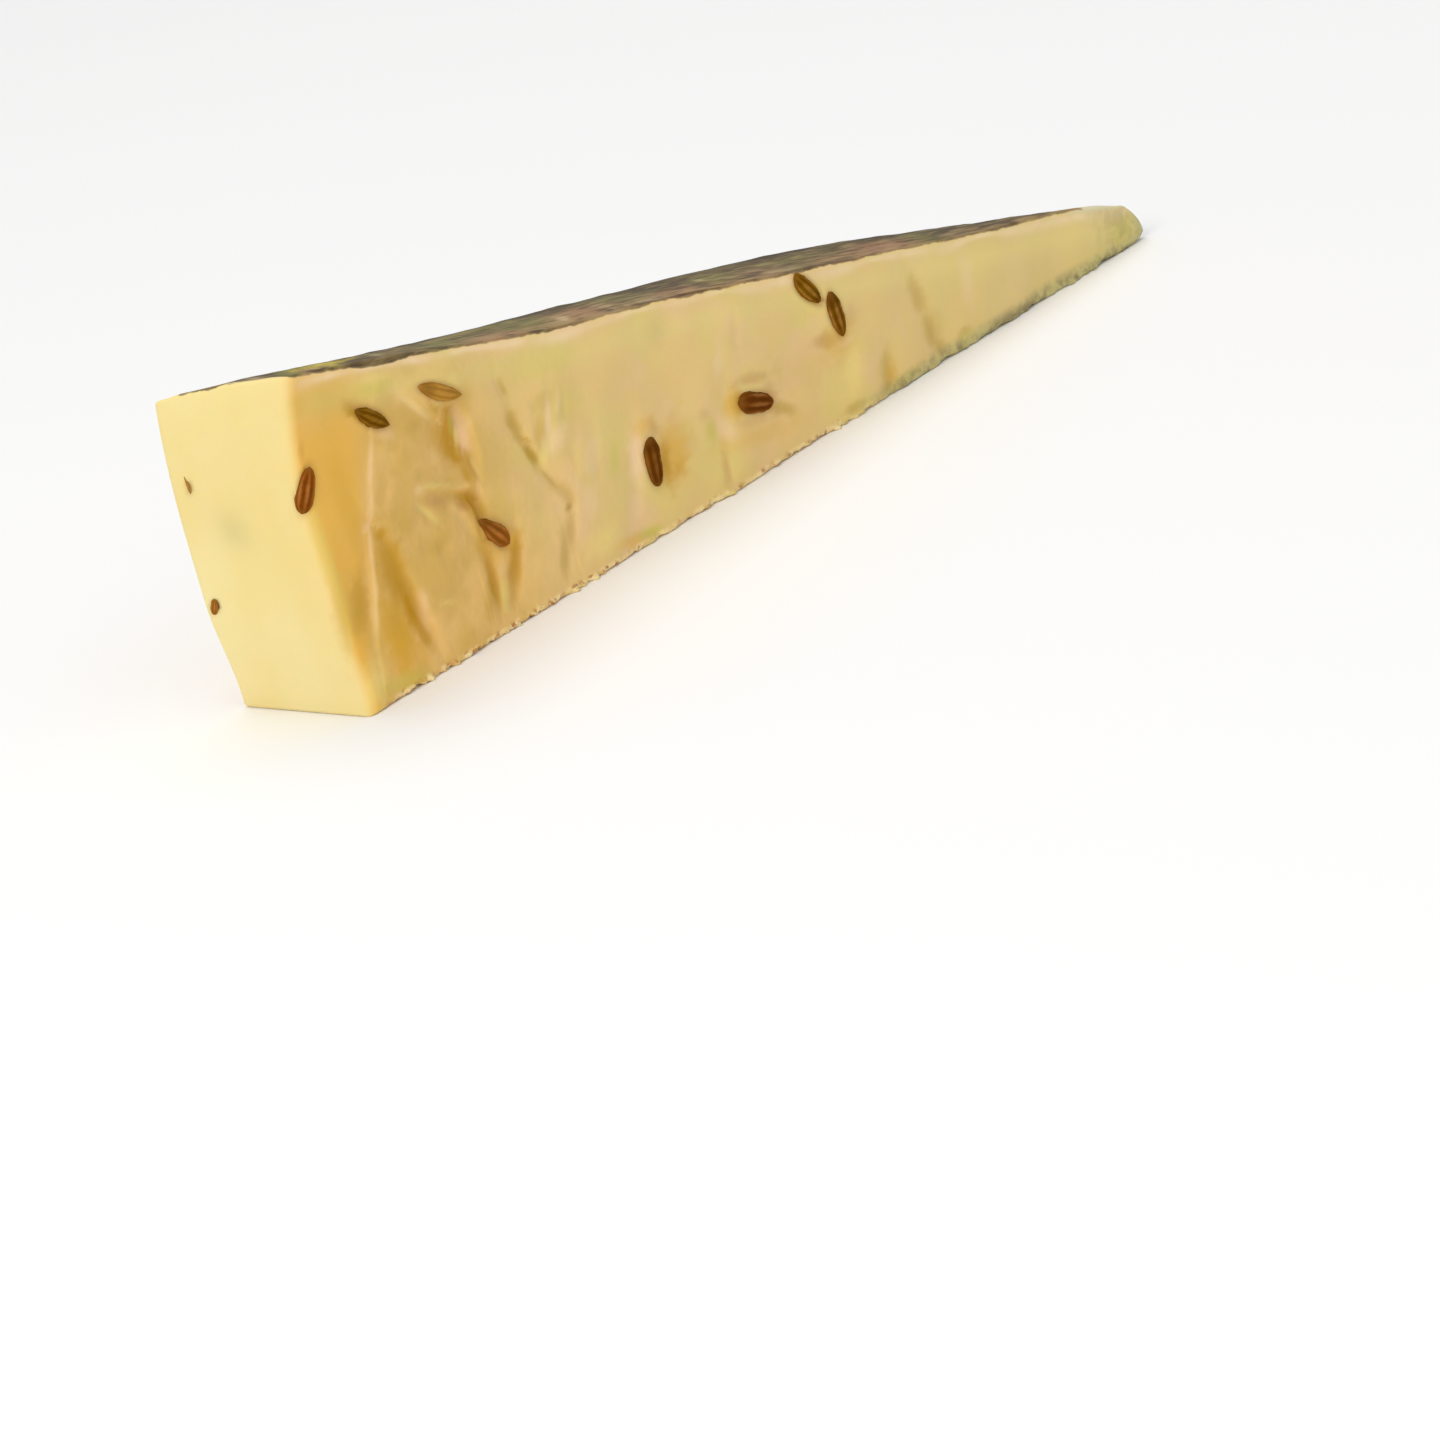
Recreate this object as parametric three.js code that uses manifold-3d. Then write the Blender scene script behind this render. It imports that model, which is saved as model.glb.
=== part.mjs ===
// A thin wedge of cumin gouda: flat base, torn front face with cumin seeds, dark rind along the sloping top.
// Millimetres, +Z up. The wedge is shaped in a frame of its own: X runs along the foot of the front face from
// the thick end to the tip, Y from the front face to the back and Z up from the base. At the end the wedge is
// moved so that the middle of its base is the origin.
import * as THREE from 'three';
import { mergeVertices } from 'three/addons/utils/BufferGeometryUtils.js';
import Module from 'manifold-3d';

// The body
const LENGTH = 154;
const HEIGHT = 39.2;
const THICKNESS = 19;
const TIP_HEIGHT = 5.6;
const TIP_THICKNESS = 2.4;
const TAPER_START = 110; // where the back starts to close in on the tip
const TAPER_SOFTNESS = 0.1;
const EDGE_ROUND = 0.4;
const CORNER_ROUND = 0.7; // how far the soft corner between the end and the front face is drawn in

// The rind: its front edge sags over the first half and rises a little before the tip, and its back edge
// hangs lower, most of all at the thick end
const SAG = 0.75;
const SAG_PLACE = 40;
const SAG_REACH = 17;
const SWELL = 0.5;
const SWELL_PLACE = 138;
const SWELL_REACH = 13;
const BACK_DROP_THICK_END = 2.6;
const BACK_DROP_TIP = 0.4;
const BACK_DROP_START = 20;
const BACK_DROP_END = 120;
const CROSS_CURVE = 1.6;

// The thick end: it bows outwards above the middle and draws in just above the base
const FRONT_BOW = 2.0;
const BACK_BOW = 0.9;
const BACK_OVERHANG = 1.3;
const BACK_FOOT = 0.4; // how far the back edge stands in at the base
const BACK_FOOT_SHARE = 0.35; // share of the height over which it comes out again
const BOW_CURVE = 1.8;
const TUCK = 0.5;
const TUCK_HEIGHT = 3;

// The nose at the tip
const NOSE_REACH = 1.95;
const NOSE_UNDERCUT = 2.9;
const NOSE_SLOPE = 3.6;
const NOSE_CURVE = 1.7;
const NOSE_LEVEL = 0.2; // height share of its foremost point
const NOSE_START = 12; // length over which the end columns bend into it

// Relief of the torn faces: where it fades out, and the broad waves and plates of a face broken by hand
const RELIEF_FADE_RIND = 3;
const RELIEF_FADE_BASE = 3;
const RELIEF_AT_BASE = 0.3;
const RELIEF_FADE_TIP = 14;
const WAVE_START = 2;
const WAVE_FADE_END = 8;
const BAND_WAVE = 0.3;
const BAND_LENGTH = 27;
const BAND_BEND = 0.9;
const BAND_BEND_HEIGHT = 57;
const PLATE_WAVE = 0.2;
const PLATE_LENGTH = 12;
const PLATE_LEAN = 0.33;
const PLATE_HEIGHT = 20;
const FRONT_PHASE = 0.6;
const BACK_PHASE = 2.9;
const FINEST_GROOVE = 1.1; // the narrowest groove that the mesh steps can carry

// Cumin seeds
const SEED_LENGTH = 5.8;
const SEED_WIDTH = 1.8;
const SEED_DEPTH = 1.4;
const SEED_PROUD = 0.05; // height of a seed's axis above the face
const SEED_SIDES = 6;
const SEED_RINGS = 4;

// Mesh steps
const STEPS_LONG = 74;
const STEPS_HIGH = 23;
const STEPS_DEEP = 5;
const LONG_CROWDING = 1.35; // columns stand closer together at the broken, thick end

// Grooves and ridges of the torn faces. The points of a path are (x, z, depth) from its upper end to its lower
// one. A positive depth goes in, a negative one stands out, and each side of the path has its own width.
const FRONT_GROOVES = [
  // the hollow along the knife cut, up to the small step at the edge of the torn part
  { left: 3.2, right: 0.5,
    path: [[10.4, 28.3, 0.25], [8.9, 24.5, 0.35], [7.1, 19.6, 0.45], [5.4, 13, 0.65], [3.6, 7.2, 0.4],
      [3.2, 4, 0.15]] },
  // the scoop beyond the step, and the deeper streak in its lower right part
  { left: 4, right: 0.6,
    path: [[8.7, 18.2, 0.5], [10, 14.5, 0.7], [10.9, 11, 0.75], [12.3, 5, 0.5], [13.2, 2.2, 0.2]] },
  { left: 1.3, right: 0.6, path: [[10.7, 11.2, 0.2], [11.4, 9.4, 0.6], [12, 7.2, 0.7], [13.6, 3.2, 0.15]] },
  // the thin step and the fissure below it, and the broad dip that both lie in
  { left: 1.4, right: 0.5, path: [[15.3, 32, 0.2], [18.3, 28.7, 0.35], [21.2, 26.2, 0.5]] },
  { left: 3.3, right: 0.6,
    path: [[22.2, 27.4, 0.4], [24.2, 26.4, 1.4], [25.2, 24, 2.1], [25.2, 22.4, 1.9], [25.6, 20.5, 1.1],
      [25.6, 18, 0.6]] },
  { left: 6, right: 2.4, path: [[14, 30, 0.2], [20, 24, 0.6], [22, 18, 0.6], [22, 10, 0.35]] },
  // the ledge left of the fissure's foot and the hollow under it
  { left: 0.6, right: 0.5, path: [[15.5, 20.6, -0.15], [19.5, 19.2, -0.3], [24, 17.6, -0.3]] },
  { left: 0.9, right: 0.7,
    path: [[18.3, 18, 0.25], [21.6, 17, 0.5], [24.4, 16.2, 0.9], [25.2, 15.2, 1.1], [25.3, 13.9, 0.9]] },
  // two grooves below the half-buried seed
  { left: 1.3, right: 0.6, path: [[24.6, 10.6, 0.6], [24.8, 8, 0.9], [24.6, 5.5, 0.85], [24.3, 3, 0.3]] },
  { left: 1.6, right: 0.6, path: [[29.8, 10.6, 0.3], [29.2, 8.1, 0.7], [28.4, 5.4, 0.9], [27.3, 2.9, 0.5]] },
  // the long thin crack, the dip beside it and the short flute beyond it
  { left: 0.9, right: 0.5,
    path: [[32.8, 23, 0.1], [33.4, 21.2, 0.45], [35.2, 17.6, 0.8], [37, 13.7, 0.35], [38.6, 11.3, 0.3],
      [39.2, 9.5, 0.5]] },
  { left: 4.5, right: 1.4, path: [[33, 26, 0.1], [34.4, 18, 0.35], [37.5, 12, 0.35], [38, 5, 0.2]] },
  { left: 1.3, right: 0.6, path: [[39.6, 22.6, 0.15], [38.5, 19.5, 0.3], [38.2, 17.6, 0.2]] },
  // broad flutes of the far half
  { left: 1.8, right: 0.6, path: [[45.6, 15, 0.15], [44.8, 12.2, 0.35], [44.2, 9.5, 0.1]] },
  { left: 3.4, right: 0.8, path: [[52.6, 14.4, 0.2], [52.2, 11, 0.6], [51.2, 7.5, 0.6], [49.6, 3, 0.3]] },
  { left: 4, right: 3, path: [[60.5, 24, 0.1], [58.5, 17, 0.3], [58, 9, 0.1]] },
  { left: 3.2, right: 0.9, path: [[69.6, 18, 0.1], [69.2, 13.5, 0.4], [68.2, 9.2, 0.5], [66.6, 6, 0.3]] },
  { left: 4.2, right: 1.2, path: [[93, 9.5, 0.1], [93, 6.5, 0.4], [91.8, 3, 0.2]] },
  { left: 2, right: 1, path: [[100.9, 7.6, 0.1], [100.2, 4, 0.5], [99.6, 1, 0.6]] },
  { left: 1.8, right: 1.6, path: [[107, 12, 0.1], [108.3, 9.3, 0.3], [110.2, 3.2, 0.4], [111.3, 1.2, 0.4]] },
  { left: 3, right: 1.6, path: [[120, 12, 0.05], [118, 6, 0.25], [118, 1, 0.2]] },
  { left: 2.2, right: 1.8, path: [[133, 7, 0.05], [131, 3.5, 0.2], [131, 1, 0.2]] },
];
const BACK_GROOVES = [
  { left: 0.5, right: 2.8, path: [[12, 20, 0.2], [13.5, 12, 0.6], [12.5, 6, 0.4]] },
  { left: 0.5, right: 1.8, path: [[19, 27, 0.2], [17, 22, 0.5], [18.5, 17, 0.3]] },
  { left: 0.7, right: 3.2, path: [[26, 30, 0.3], [24, 21, 1.7], [26, 14, 2], [25, 7, 1.2], [25.5, 3, 0.4]] },
  { left: 0.6, right: 1.6, path: [[27, 14, 0.8], [31, 11.5, 1.2], [35, 8, 1], [38, 2.5, 0.4]] },
  { left: 0.5, right: 2.2, path: [[40, 25, 0.2], [41.5, 20, 0.9], [40.5, 16, 0.5], [42, 12, 0.3]] },
  { left: 0.8, right: 3.8, path: [[52, 20, 0.2], [55, 11, 1.1], [54, 3, 0.5]] },
  { left: 0.5, right: 2, path: [[63, 19, 0.2], [61, 13, 0.5], [62, 9, 0.2]] },
  { left: 0.8, right: 3.2, path: [[74, 17, 0.2], [72, 11, 0.6], [71, 5, 0.5]] },
  { left: 0.9, right: 3, path: [[93, 13, 0.2], [95, 3, 0.6]] },
  { left: 0.8, right: 2.6, path: [[112, 11, 0.1], [110, 4, 0.5]] },
];

// Seeds: the place on the face, the turn of the seed's axis from level within the face in degrees, and its
// length and width beside the usual ones
const SEEDS = [
  { face: 'corner', x: -1.15, y: 0.1, z: 26.8, turn: 68, size: 0.9, wide: 1.15 },
  { face: 'front', x: 11.35, z: 30.3, turn: -37, size: 0.97, wide: 1.22 },
  { face: 'front', x: 22.1, z: 29.3, turn: -27, size: 1.28, wide: 1.15 },
  { face: 'front', x: 26.2, z: 11.3, turn: -50, size: 0.92, wide: 1.65 },
  { face: 'front', x: 54.4, z: 8.6, turn: -88, size: 1.05, wide: 1.65 },
  { face: 'front', x: 74, z: 8.5, turn: -19, size: 1.22, wide: 1.6 },
  { face: 'front', x: 87.4, z: 17.7, turn: -50, size: 1.1, wide: 1.3 },
  { face: 'front', x: 91.3, z: 13.1, turn: -79, size: 1.03, wide: 1.5 },
  { face: 'back', x: 9, z: 25, turn: 35, size: 1, wide: 1.1 },
  { face: 'back', x: 18, z: 12, turn: -70, size: 0.9, wide: 1.1 },
  { face: 'back', x: 36, z: 22, turn: 15, size: 1.05, wide: 1.1 },
  { face: 'back', x: 47, z: 7, turn: 80, size: 0.95, wide: 1.1 },
  { face: 'back', x: 64, z: 15, turn: -30, size: 1, wide: 1.1 },
  { face: 'back', x: 84, z: 9, turn: 50, size: 1.05, wide: 1.1 },
  { face: 'back', x: 106, z: 7, turn: -12, size: 0.9, wide: 1.1 },
];

const clamp01 = (value) => Math.min(1, Math.max(0, value));
const mix = (a, b, share) => a + (b - a) * share;
const smooth = (share) => {
  const t = clamp01(share);
  return t * t * (3 - 2 * t);
};
const bump = (offset, reach) => Math.exp(-((offset / reach) ** 2));
const wave = (distance, length, phase) => Math.sin((2 * Math.PI * distance) / length + phase);

const straightEdge = (x) => mix(HEIGHT, TIP_HEIGHT, x / LENGTH);

// Height of the rind's front edge
function frontEdge(x) {
  return straightEdge(x) - SAG * bump(x - SAG_PLACE, SAG_REACH) + SWELL * bump(x - SWELL_PLACE, SWELL_REACH);
}

// Height of the rind's back edge
function backEdge(x) {
  const along = smooth((x - BACK_DROP_START) / (BACK_DROP_END - BACK_DROP_START));
  return straightEdge(x) - mix(BACK_DROP_THICK_END, BACK_DROP_TIP, along);
}

// Height of the rind at a share of the way from front to back
function topSurface(x, share) {
  return mix(frontEdge(x), backEdge(x), share ** CROSS_CURVE);
}

// Distance from the front plane to the back one
function thicknessAt(x) {
  const reach = (x - TAPER_START) / (LENGTH - TAPER_START);
  const closing = (reach + Math.hypot(reach, TAPER_SOFTNESS)) / 2;
  return mix(THICKNESS, TIP_THICKNESS, Math.min(1, closing));
}

// How far the thick end stands out beyond its plane
function endBow(z, depthShare) {
  const share = clamp01(z / HEIGHT);
  const arch = Math.sin(Math.PI * share ** BOW_CURVE);
  const front = FRONT_BOW * arch - TUCK * bump(z - TUCK_HEIGHT, TUCK_HEIGHT);
  const back = mix(-BACK_FOOT, BACK_OVERHANG, smooth(share / BACK_FOOT_SHARE)) + BACK_BOW * arch;
  return mix(front, back, depthShare);
}

// How far the tip's nose stands out at a share of its height
function noseReach(share) {
  if (share < NOSE_LEVEL) {
    return NOSE_REACH - NOSE_UNDERCUT * (1 - share / NOSE_LEVEL) ** 2;
  }
  return NOSE_REACH - NOSE_SLOPE * ((share - NOSE_LEVEL) / (1 - NOSE_LEVEL)) ** NOSE_CURVE;
}

// Broad waves and plates of a face broken by hand
function undulation(x, z, phase) {
  const bands = wave(x, BAND_LENGTH, BAND_BEND * wave(z, BAND_BEND_HEIGHT, phase) + phase);
  const plates = wave(x - PLATE_LEAN * z, PLATE_LENGTH, phase) * wave(z, PLATE_HEIGHT, phase);
  return BAND_WAVE * bands + PLATE_WAVE * plates;
}

// Depth of one groove, by the nearest point of its path and the side of it that (x, z) lies on
function grooveDepth(x, z, groove) {
  let nearest = Infinity;
  let depth = 0;
  let width = groove.right;
  for (let i = 0; i + 1 < groove.path.length; i += 1) {
    const [ax, az, depthA] = groove.path[i];
    const [bx, bz, depthB] = groove.path[i + 1];
    const dx = bx - ax;
    const dz = bz - az;
    const along = clamp01(((x - ax) * dx + (z - az) * dz) / (dx * dx + dz * dz));
    const distance = Math.hypot(x - ax - dx * along, z - az - dz * along);
    if (distance < nearest) {
      nearest = distance;
      depth = mix(depthA, depthB, along);
      width = dx * (z - az) - dz * (x - ax) < 0 ? groove.left : groove.right;
    }
  }
  return depth * bump(nearest, Math.max(FINEST_GROOVE, width));
}

function groovesAt(x, z, grooves) {
  return grooves.reduce((total, groove) => total + grooveDepth(x, z, groove), 0);
}

function reliefFade(x, z) {
  const belowRind = smooth((frontEdge(x) - z) / RELIEF_FADE_RIND);
  const aboveBase = mix(RELIEF_AT_BASE, 1, smooth(z / RELIEF_FADE_BASE));
  const beforeTip = smooth((LENGTH - x) / RELIEF_FADE_TIP);
  return belowRind * aboveBase * beforeTip;
}

// How far the torn faces lie behind their planes
function frontRelief(x, z) {
  const fromEnd = smooth((x - WAVE_START) / WAVE_FADE_END);
  return reliefFade(x, z) * (undulation(x, z, FRONT_PHASE) * fromEnd + groovesAt(x, z, FRONT_GROOVES));
}

function backRelief(x, z) {
  const fromEnd = smooth(x / WAVE_FADE_END);
  return reliefFade(x, z) * fromEnd * (undulation(x, z, BACK_PHASE) + groovesAt(x, z, BACK_GROOVES));
}

// A point of the wedge from its shares of the length, depth and height
function wedgePoint(longShare, deepShare, highShare) {
  const x = LENGTH * longShare ** LONG_CROWDING;
  const z = topSurface(x, deepShare) * highShare;
  const back = thicknessAt(x) - backRelief(x, z);
  const y = mix(frontRelief(x, z), back, deepShare);
  const bow = endBow(z, deepShare) * (1 - smooth(x / NOSE_START));
  const nose = noseReach(highShare) * smooth((x - LENGTH + NOSE_START) / NOSE_START) ** 3;
  return new THREE.Vector3(x - bow + nose, y, z);
}

// Draws the long edges and the thick end's edges in a little
function softenEdge(point, longShare, deepShare, highShare) {
  const onSide = deepShare === 0 || deepShare === 1;
  const onTop = highShare === 1;
  const onEnd = longShare === 0;
  if (onSide && onTop) {
    point.z -= EDGE_ROUND;
  }
  if (onEnd && deepShare === 0) {
    point.x += CORNER_ROUND;
  } else if (onEnd && (onSide || onTop)) {
    point.x += EDGE_ROUND;
  }
}

function wedgeGeometry() {
  const box = new THREE.BoxGeometry(1, 1, 1, STEPS_LONG, STEPS_DEEP, STEPS_HIGH);
  box.deleteAttribute('normal');
  box.deleteAttribute('uv');
  const geometry = mergeVertices(box);
  const places = geometry.attributes.position;
  for (let i = 0; i < places.count; i += 1) {
    const shares = [places.getX(i) + 0.5, places.getY(i) + 0.5, places.getZ(i) + 0.5];
    const point = wedgePoint(...shares);
    softenEdge(point, ...shares);
    places.setXYZ(i, point.x, point.y, point.z);
  }
  return geometry;
}

// A spindle of thirty-six triangles along X
function seedGeometry(size, wide) {
  const spindle = new THREE.SphereGeometry(1, SEED_SIDES, SEED_RINGS);
  spindle.deleteAttribute('normal');
  spindle.deleteAttribute('uv');
  spindle.rotateZ(Math.PI / 2);
  spindle.scale(SEED_LENGTH * size / 2, SEED_WIDTH * wide / 2, SEED_DEPTH / 2);
  return mergeVertices(spindle);
}

// The point that a seed lies on, with the level direction and the outward one of its face
function seat(seed) {
  const level = new THREE.Vector3();
  const outward = new THREE.Vector3();
  const place = new THREE.Vector3(seed.x, seed.y, seed.z);
  if (seed.face === 'front') {
    level.set(1, 0, 0);
    outward.set(0, -1, 0);
    place.y = frontRelief(seed.x, seed.z);
  } else if (seed.face === 'back') {
    level.set(-1, 0, 0);
    outward.set(0, 1, 0);
    place.y = thicknessAt(seed.x) - backRelief(seed.x, seed.z);
  } else {
    level.set(1, -1, 0).normalize();
    outward.set(-1, -1, 0).normalize();
  }
  return { place, level, outward };
}

function placedSeed(seed) {
  const { place, level, outward } = seat(seed);
  const matrix = new THREE.Matrix4().makeBasis(level, new THREE.Vector3(0, 0, 1), outward);
  matrix.multiply(new THREE.Matrix4().makeRotationZ(THREE.MathUtils.degToRad(seed.turn)));
  matrix.setPosition(place.addScaledVector(outward, SEED_PROUD));
  return seedGeometry(seed.size, seed.wide).applyMatrix4(matrix);
}

const wasm = await Module();
wasm.setup();

function toManifold(geometry) {
  const vertProperties = new Float32Array(geometry.attributes.position.array);
  const triVerts = new Uint32Array(geometry.index.array);
  return new wasm.Manifold(new wasm.Mesh({ numProp: 3, vertProperties, triVerts }));
}

function fromManifold(solid) {
  const { vertProperties, triVerts } = solid.getMesh();
  const geometry = new THREE.BufferGeometry();
  geometry.setAttribute('position', new THREE.BufferAttribute(vertProperties, 3));
  geometry.setIndex(new THREE.BufferAttribute(triVerts, 1));
  return geometry;
}

let solid = toManifold(wedgeGeometry());
for (const seed of SEEDS) {
  solid = solid.add(toManifold(placedSeed(seed)));
}

const geometry = fromManifold(solid);
geometry.computeBoundingBox();
const { min, max } = geometry.boundingBox;
geometry.translate(-(min.x + max.x) / 2, -(min.y + max.y) / 2, -min.z);

const cheese = new THREE.MeshStandardMaterial({ color: 0xdcc07e, roughness: 0.55, metalness: 0 });
const wedge = new THREE.Mesh(geometry, cheese);
wedge.name = 'cheese_wedge';

const group = new THREE.Group();
group.add(wedge);

export default group;
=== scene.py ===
"""A thin wedge of cumin gouda on a pale floor: torn faces with seeds, cut end and base, dark rind on top.

The wedge is shaped in millimetres in a frame of its own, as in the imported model's source: X along the foot
of the front face from the thick end to the tip, Y from the front face to the back, Z up from the base. The
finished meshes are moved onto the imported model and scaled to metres.
"""
from math import atan, cos, pi, radians, sin

import bpy
import numpy as np
from mathutils import Matrix, Vector


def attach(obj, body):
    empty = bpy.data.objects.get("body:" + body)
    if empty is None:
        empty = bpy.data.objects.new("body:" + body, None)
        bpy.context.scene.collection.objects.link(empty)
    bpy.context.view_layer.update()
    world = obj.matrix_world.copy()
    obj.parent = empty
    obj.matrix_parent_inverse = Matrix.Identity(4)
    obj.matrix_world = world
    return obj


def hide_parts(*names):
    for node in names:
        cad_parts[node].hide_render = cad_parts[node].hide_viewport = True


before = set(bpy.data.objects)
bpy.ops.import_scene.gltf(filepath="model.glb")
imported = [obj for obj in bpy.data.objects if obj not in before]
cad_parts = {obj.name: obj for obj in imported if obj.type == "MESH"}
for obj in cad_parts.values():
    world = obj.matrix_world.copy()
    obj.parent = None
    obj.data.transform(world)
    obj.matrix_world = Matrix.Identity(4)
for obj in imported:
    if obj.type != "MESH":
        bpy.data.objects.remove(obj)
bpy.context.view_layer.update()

MM = 0.001
NODE = "cheese_wedge"

# The body, in millimetres
LENGTH = 154.0
HEIGHT = 39.2
THICKNESS = 19.0
TIP_HEIGHT = 5.6
TIP_THICKNESS = 2.4
TAPER_START = 110.0
TAPER_SOFTNESS = 0.1
EDGE_RADIUS = 0.5
CORNER_RADIUS = 1.5

# The rind's front edge sags and swells, and its back edge hangs lower
SAG = 0.75
SAG_PLACE = 40.0
SAG_REACH = 17.0
SWELL = 0.5
SWELL_PLACE = 138.0
SWELL_REACH = 13.0
BACK_DROP_THICK_END = 2.6
BACK_DROP_TIP = 0.4
BACK_DROP_START = 20.0
BACK_DROP_END = 120.0
CROSS_CURVE = 1.6

# The thick end and the nose at the tip
FRONT_BOW = 2.0
BACK_BOW = 0.9
BACK_OVERHANG = 1.3
BACK_FOOT = 0.4
BACK_FOOT_SHARE = 0.35
BOW_CURVE = 1.8
TUCK = 0.5
TUCK_HEIGHT = 3.0
NOSE_REACH = 1.95
NOSE_UNDERCUT = 2.9
NOSE_SLOPE = 3.6
NOSE_CURVE = 1.7
NOSE_LEVEL = 0.2
NOSE_START = 12.0

# Relief of the torn faces
RELIEF_FADE_RIND = 3.0
RELIEF_FADE_BASE = 3.0
RELIEF_AT_BASE = 0.3
RELIEF_FADE_TIP = 14.0
WAVE_START = 2.0
WAVE_FADE_END = 8.0
BAND_WAVE = 0.3
BAND_LENGTH = 27.0
BAND_BEND = 0.9
BAND_BEND_HEIGHT = 57.0
PLATE_WAVE = 0.2
PLATE_LENGTH = 12.0
PLATE_LEAN = 0.33
PLATE_HEIGHT = 20.0
FRONT_PHASE = 0.6
BACK_PHASE = 2.9
CRUMB_HEIGHT = 1.1
CRUMB_DEPTH = 0.42
NOTCH_HEIGHT = 0.4
NOTCH_REACH = 1.5
# Layers of the torn faces' grain (height, size, turn and phase), and where the flakes get lower
TORN_PLATES = (0.13, 4.2, 28, 0)
TORN_FLAKES = (0.14, 2.6, -32, 4)
TORN_SLIVERS = (0.06, 1.5, 62, 0)
TORN_CRUMB = (0.02, 0.6, 15, 9)
CALM_START = 30.0
CALM_LENGTH = 30.0
CALM_FLAKES = 0.45
# Heights of the rind's broad and narrow lumps
RIND_LUMPS = 0.07
RIND_WRINKLES = 0.06

# The rind: how far it laps over the front edge, with a dip, how far it is trimmed at the thick end, where
# it ends near the tip, and how much later at the back
RIND_LAP = 0.26
RIND_TRIM = 0.28
RIND_DIP = 0.5
RIND_DIP_PLACE = 14.5
RIND_DIP_REACH = 5.0
RIND_END = 143.5
RIND_END_SLANT = 4.0
BARE_CORNER = 14.5

# Cumin seeds
SEED_LENGTH = 5.8
SEED_WIDTH = 1.8
SEED_DEPTH = 1.4
SEED_RIBS = 7
SEED_SIDES = 42
SEED_RINGS = 26
CUT_FLATNESS = 0.16
CUT_SOCKET = 0.4
CUT_PROUD = 0.06

# Mesh steps
COLUMNS = 400
ROWS = 99
DEEP_ROWS = 21


def groove(path, left, right, gold_shade=0, lit=0):
    """A groove or step of a torn face.

    The path has points (x, z, depth) from its upper end to its lower one; a positive depth goes in. Each
    side has its own width. Gold says how deep the painted shade in it gets, lit how pale its steep side is
    painted, as a highlight where that side faces the lamp."""
    return dict(path=path, left=left, right=right, gold_shade=gold_shade, lit=lit)


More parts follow.
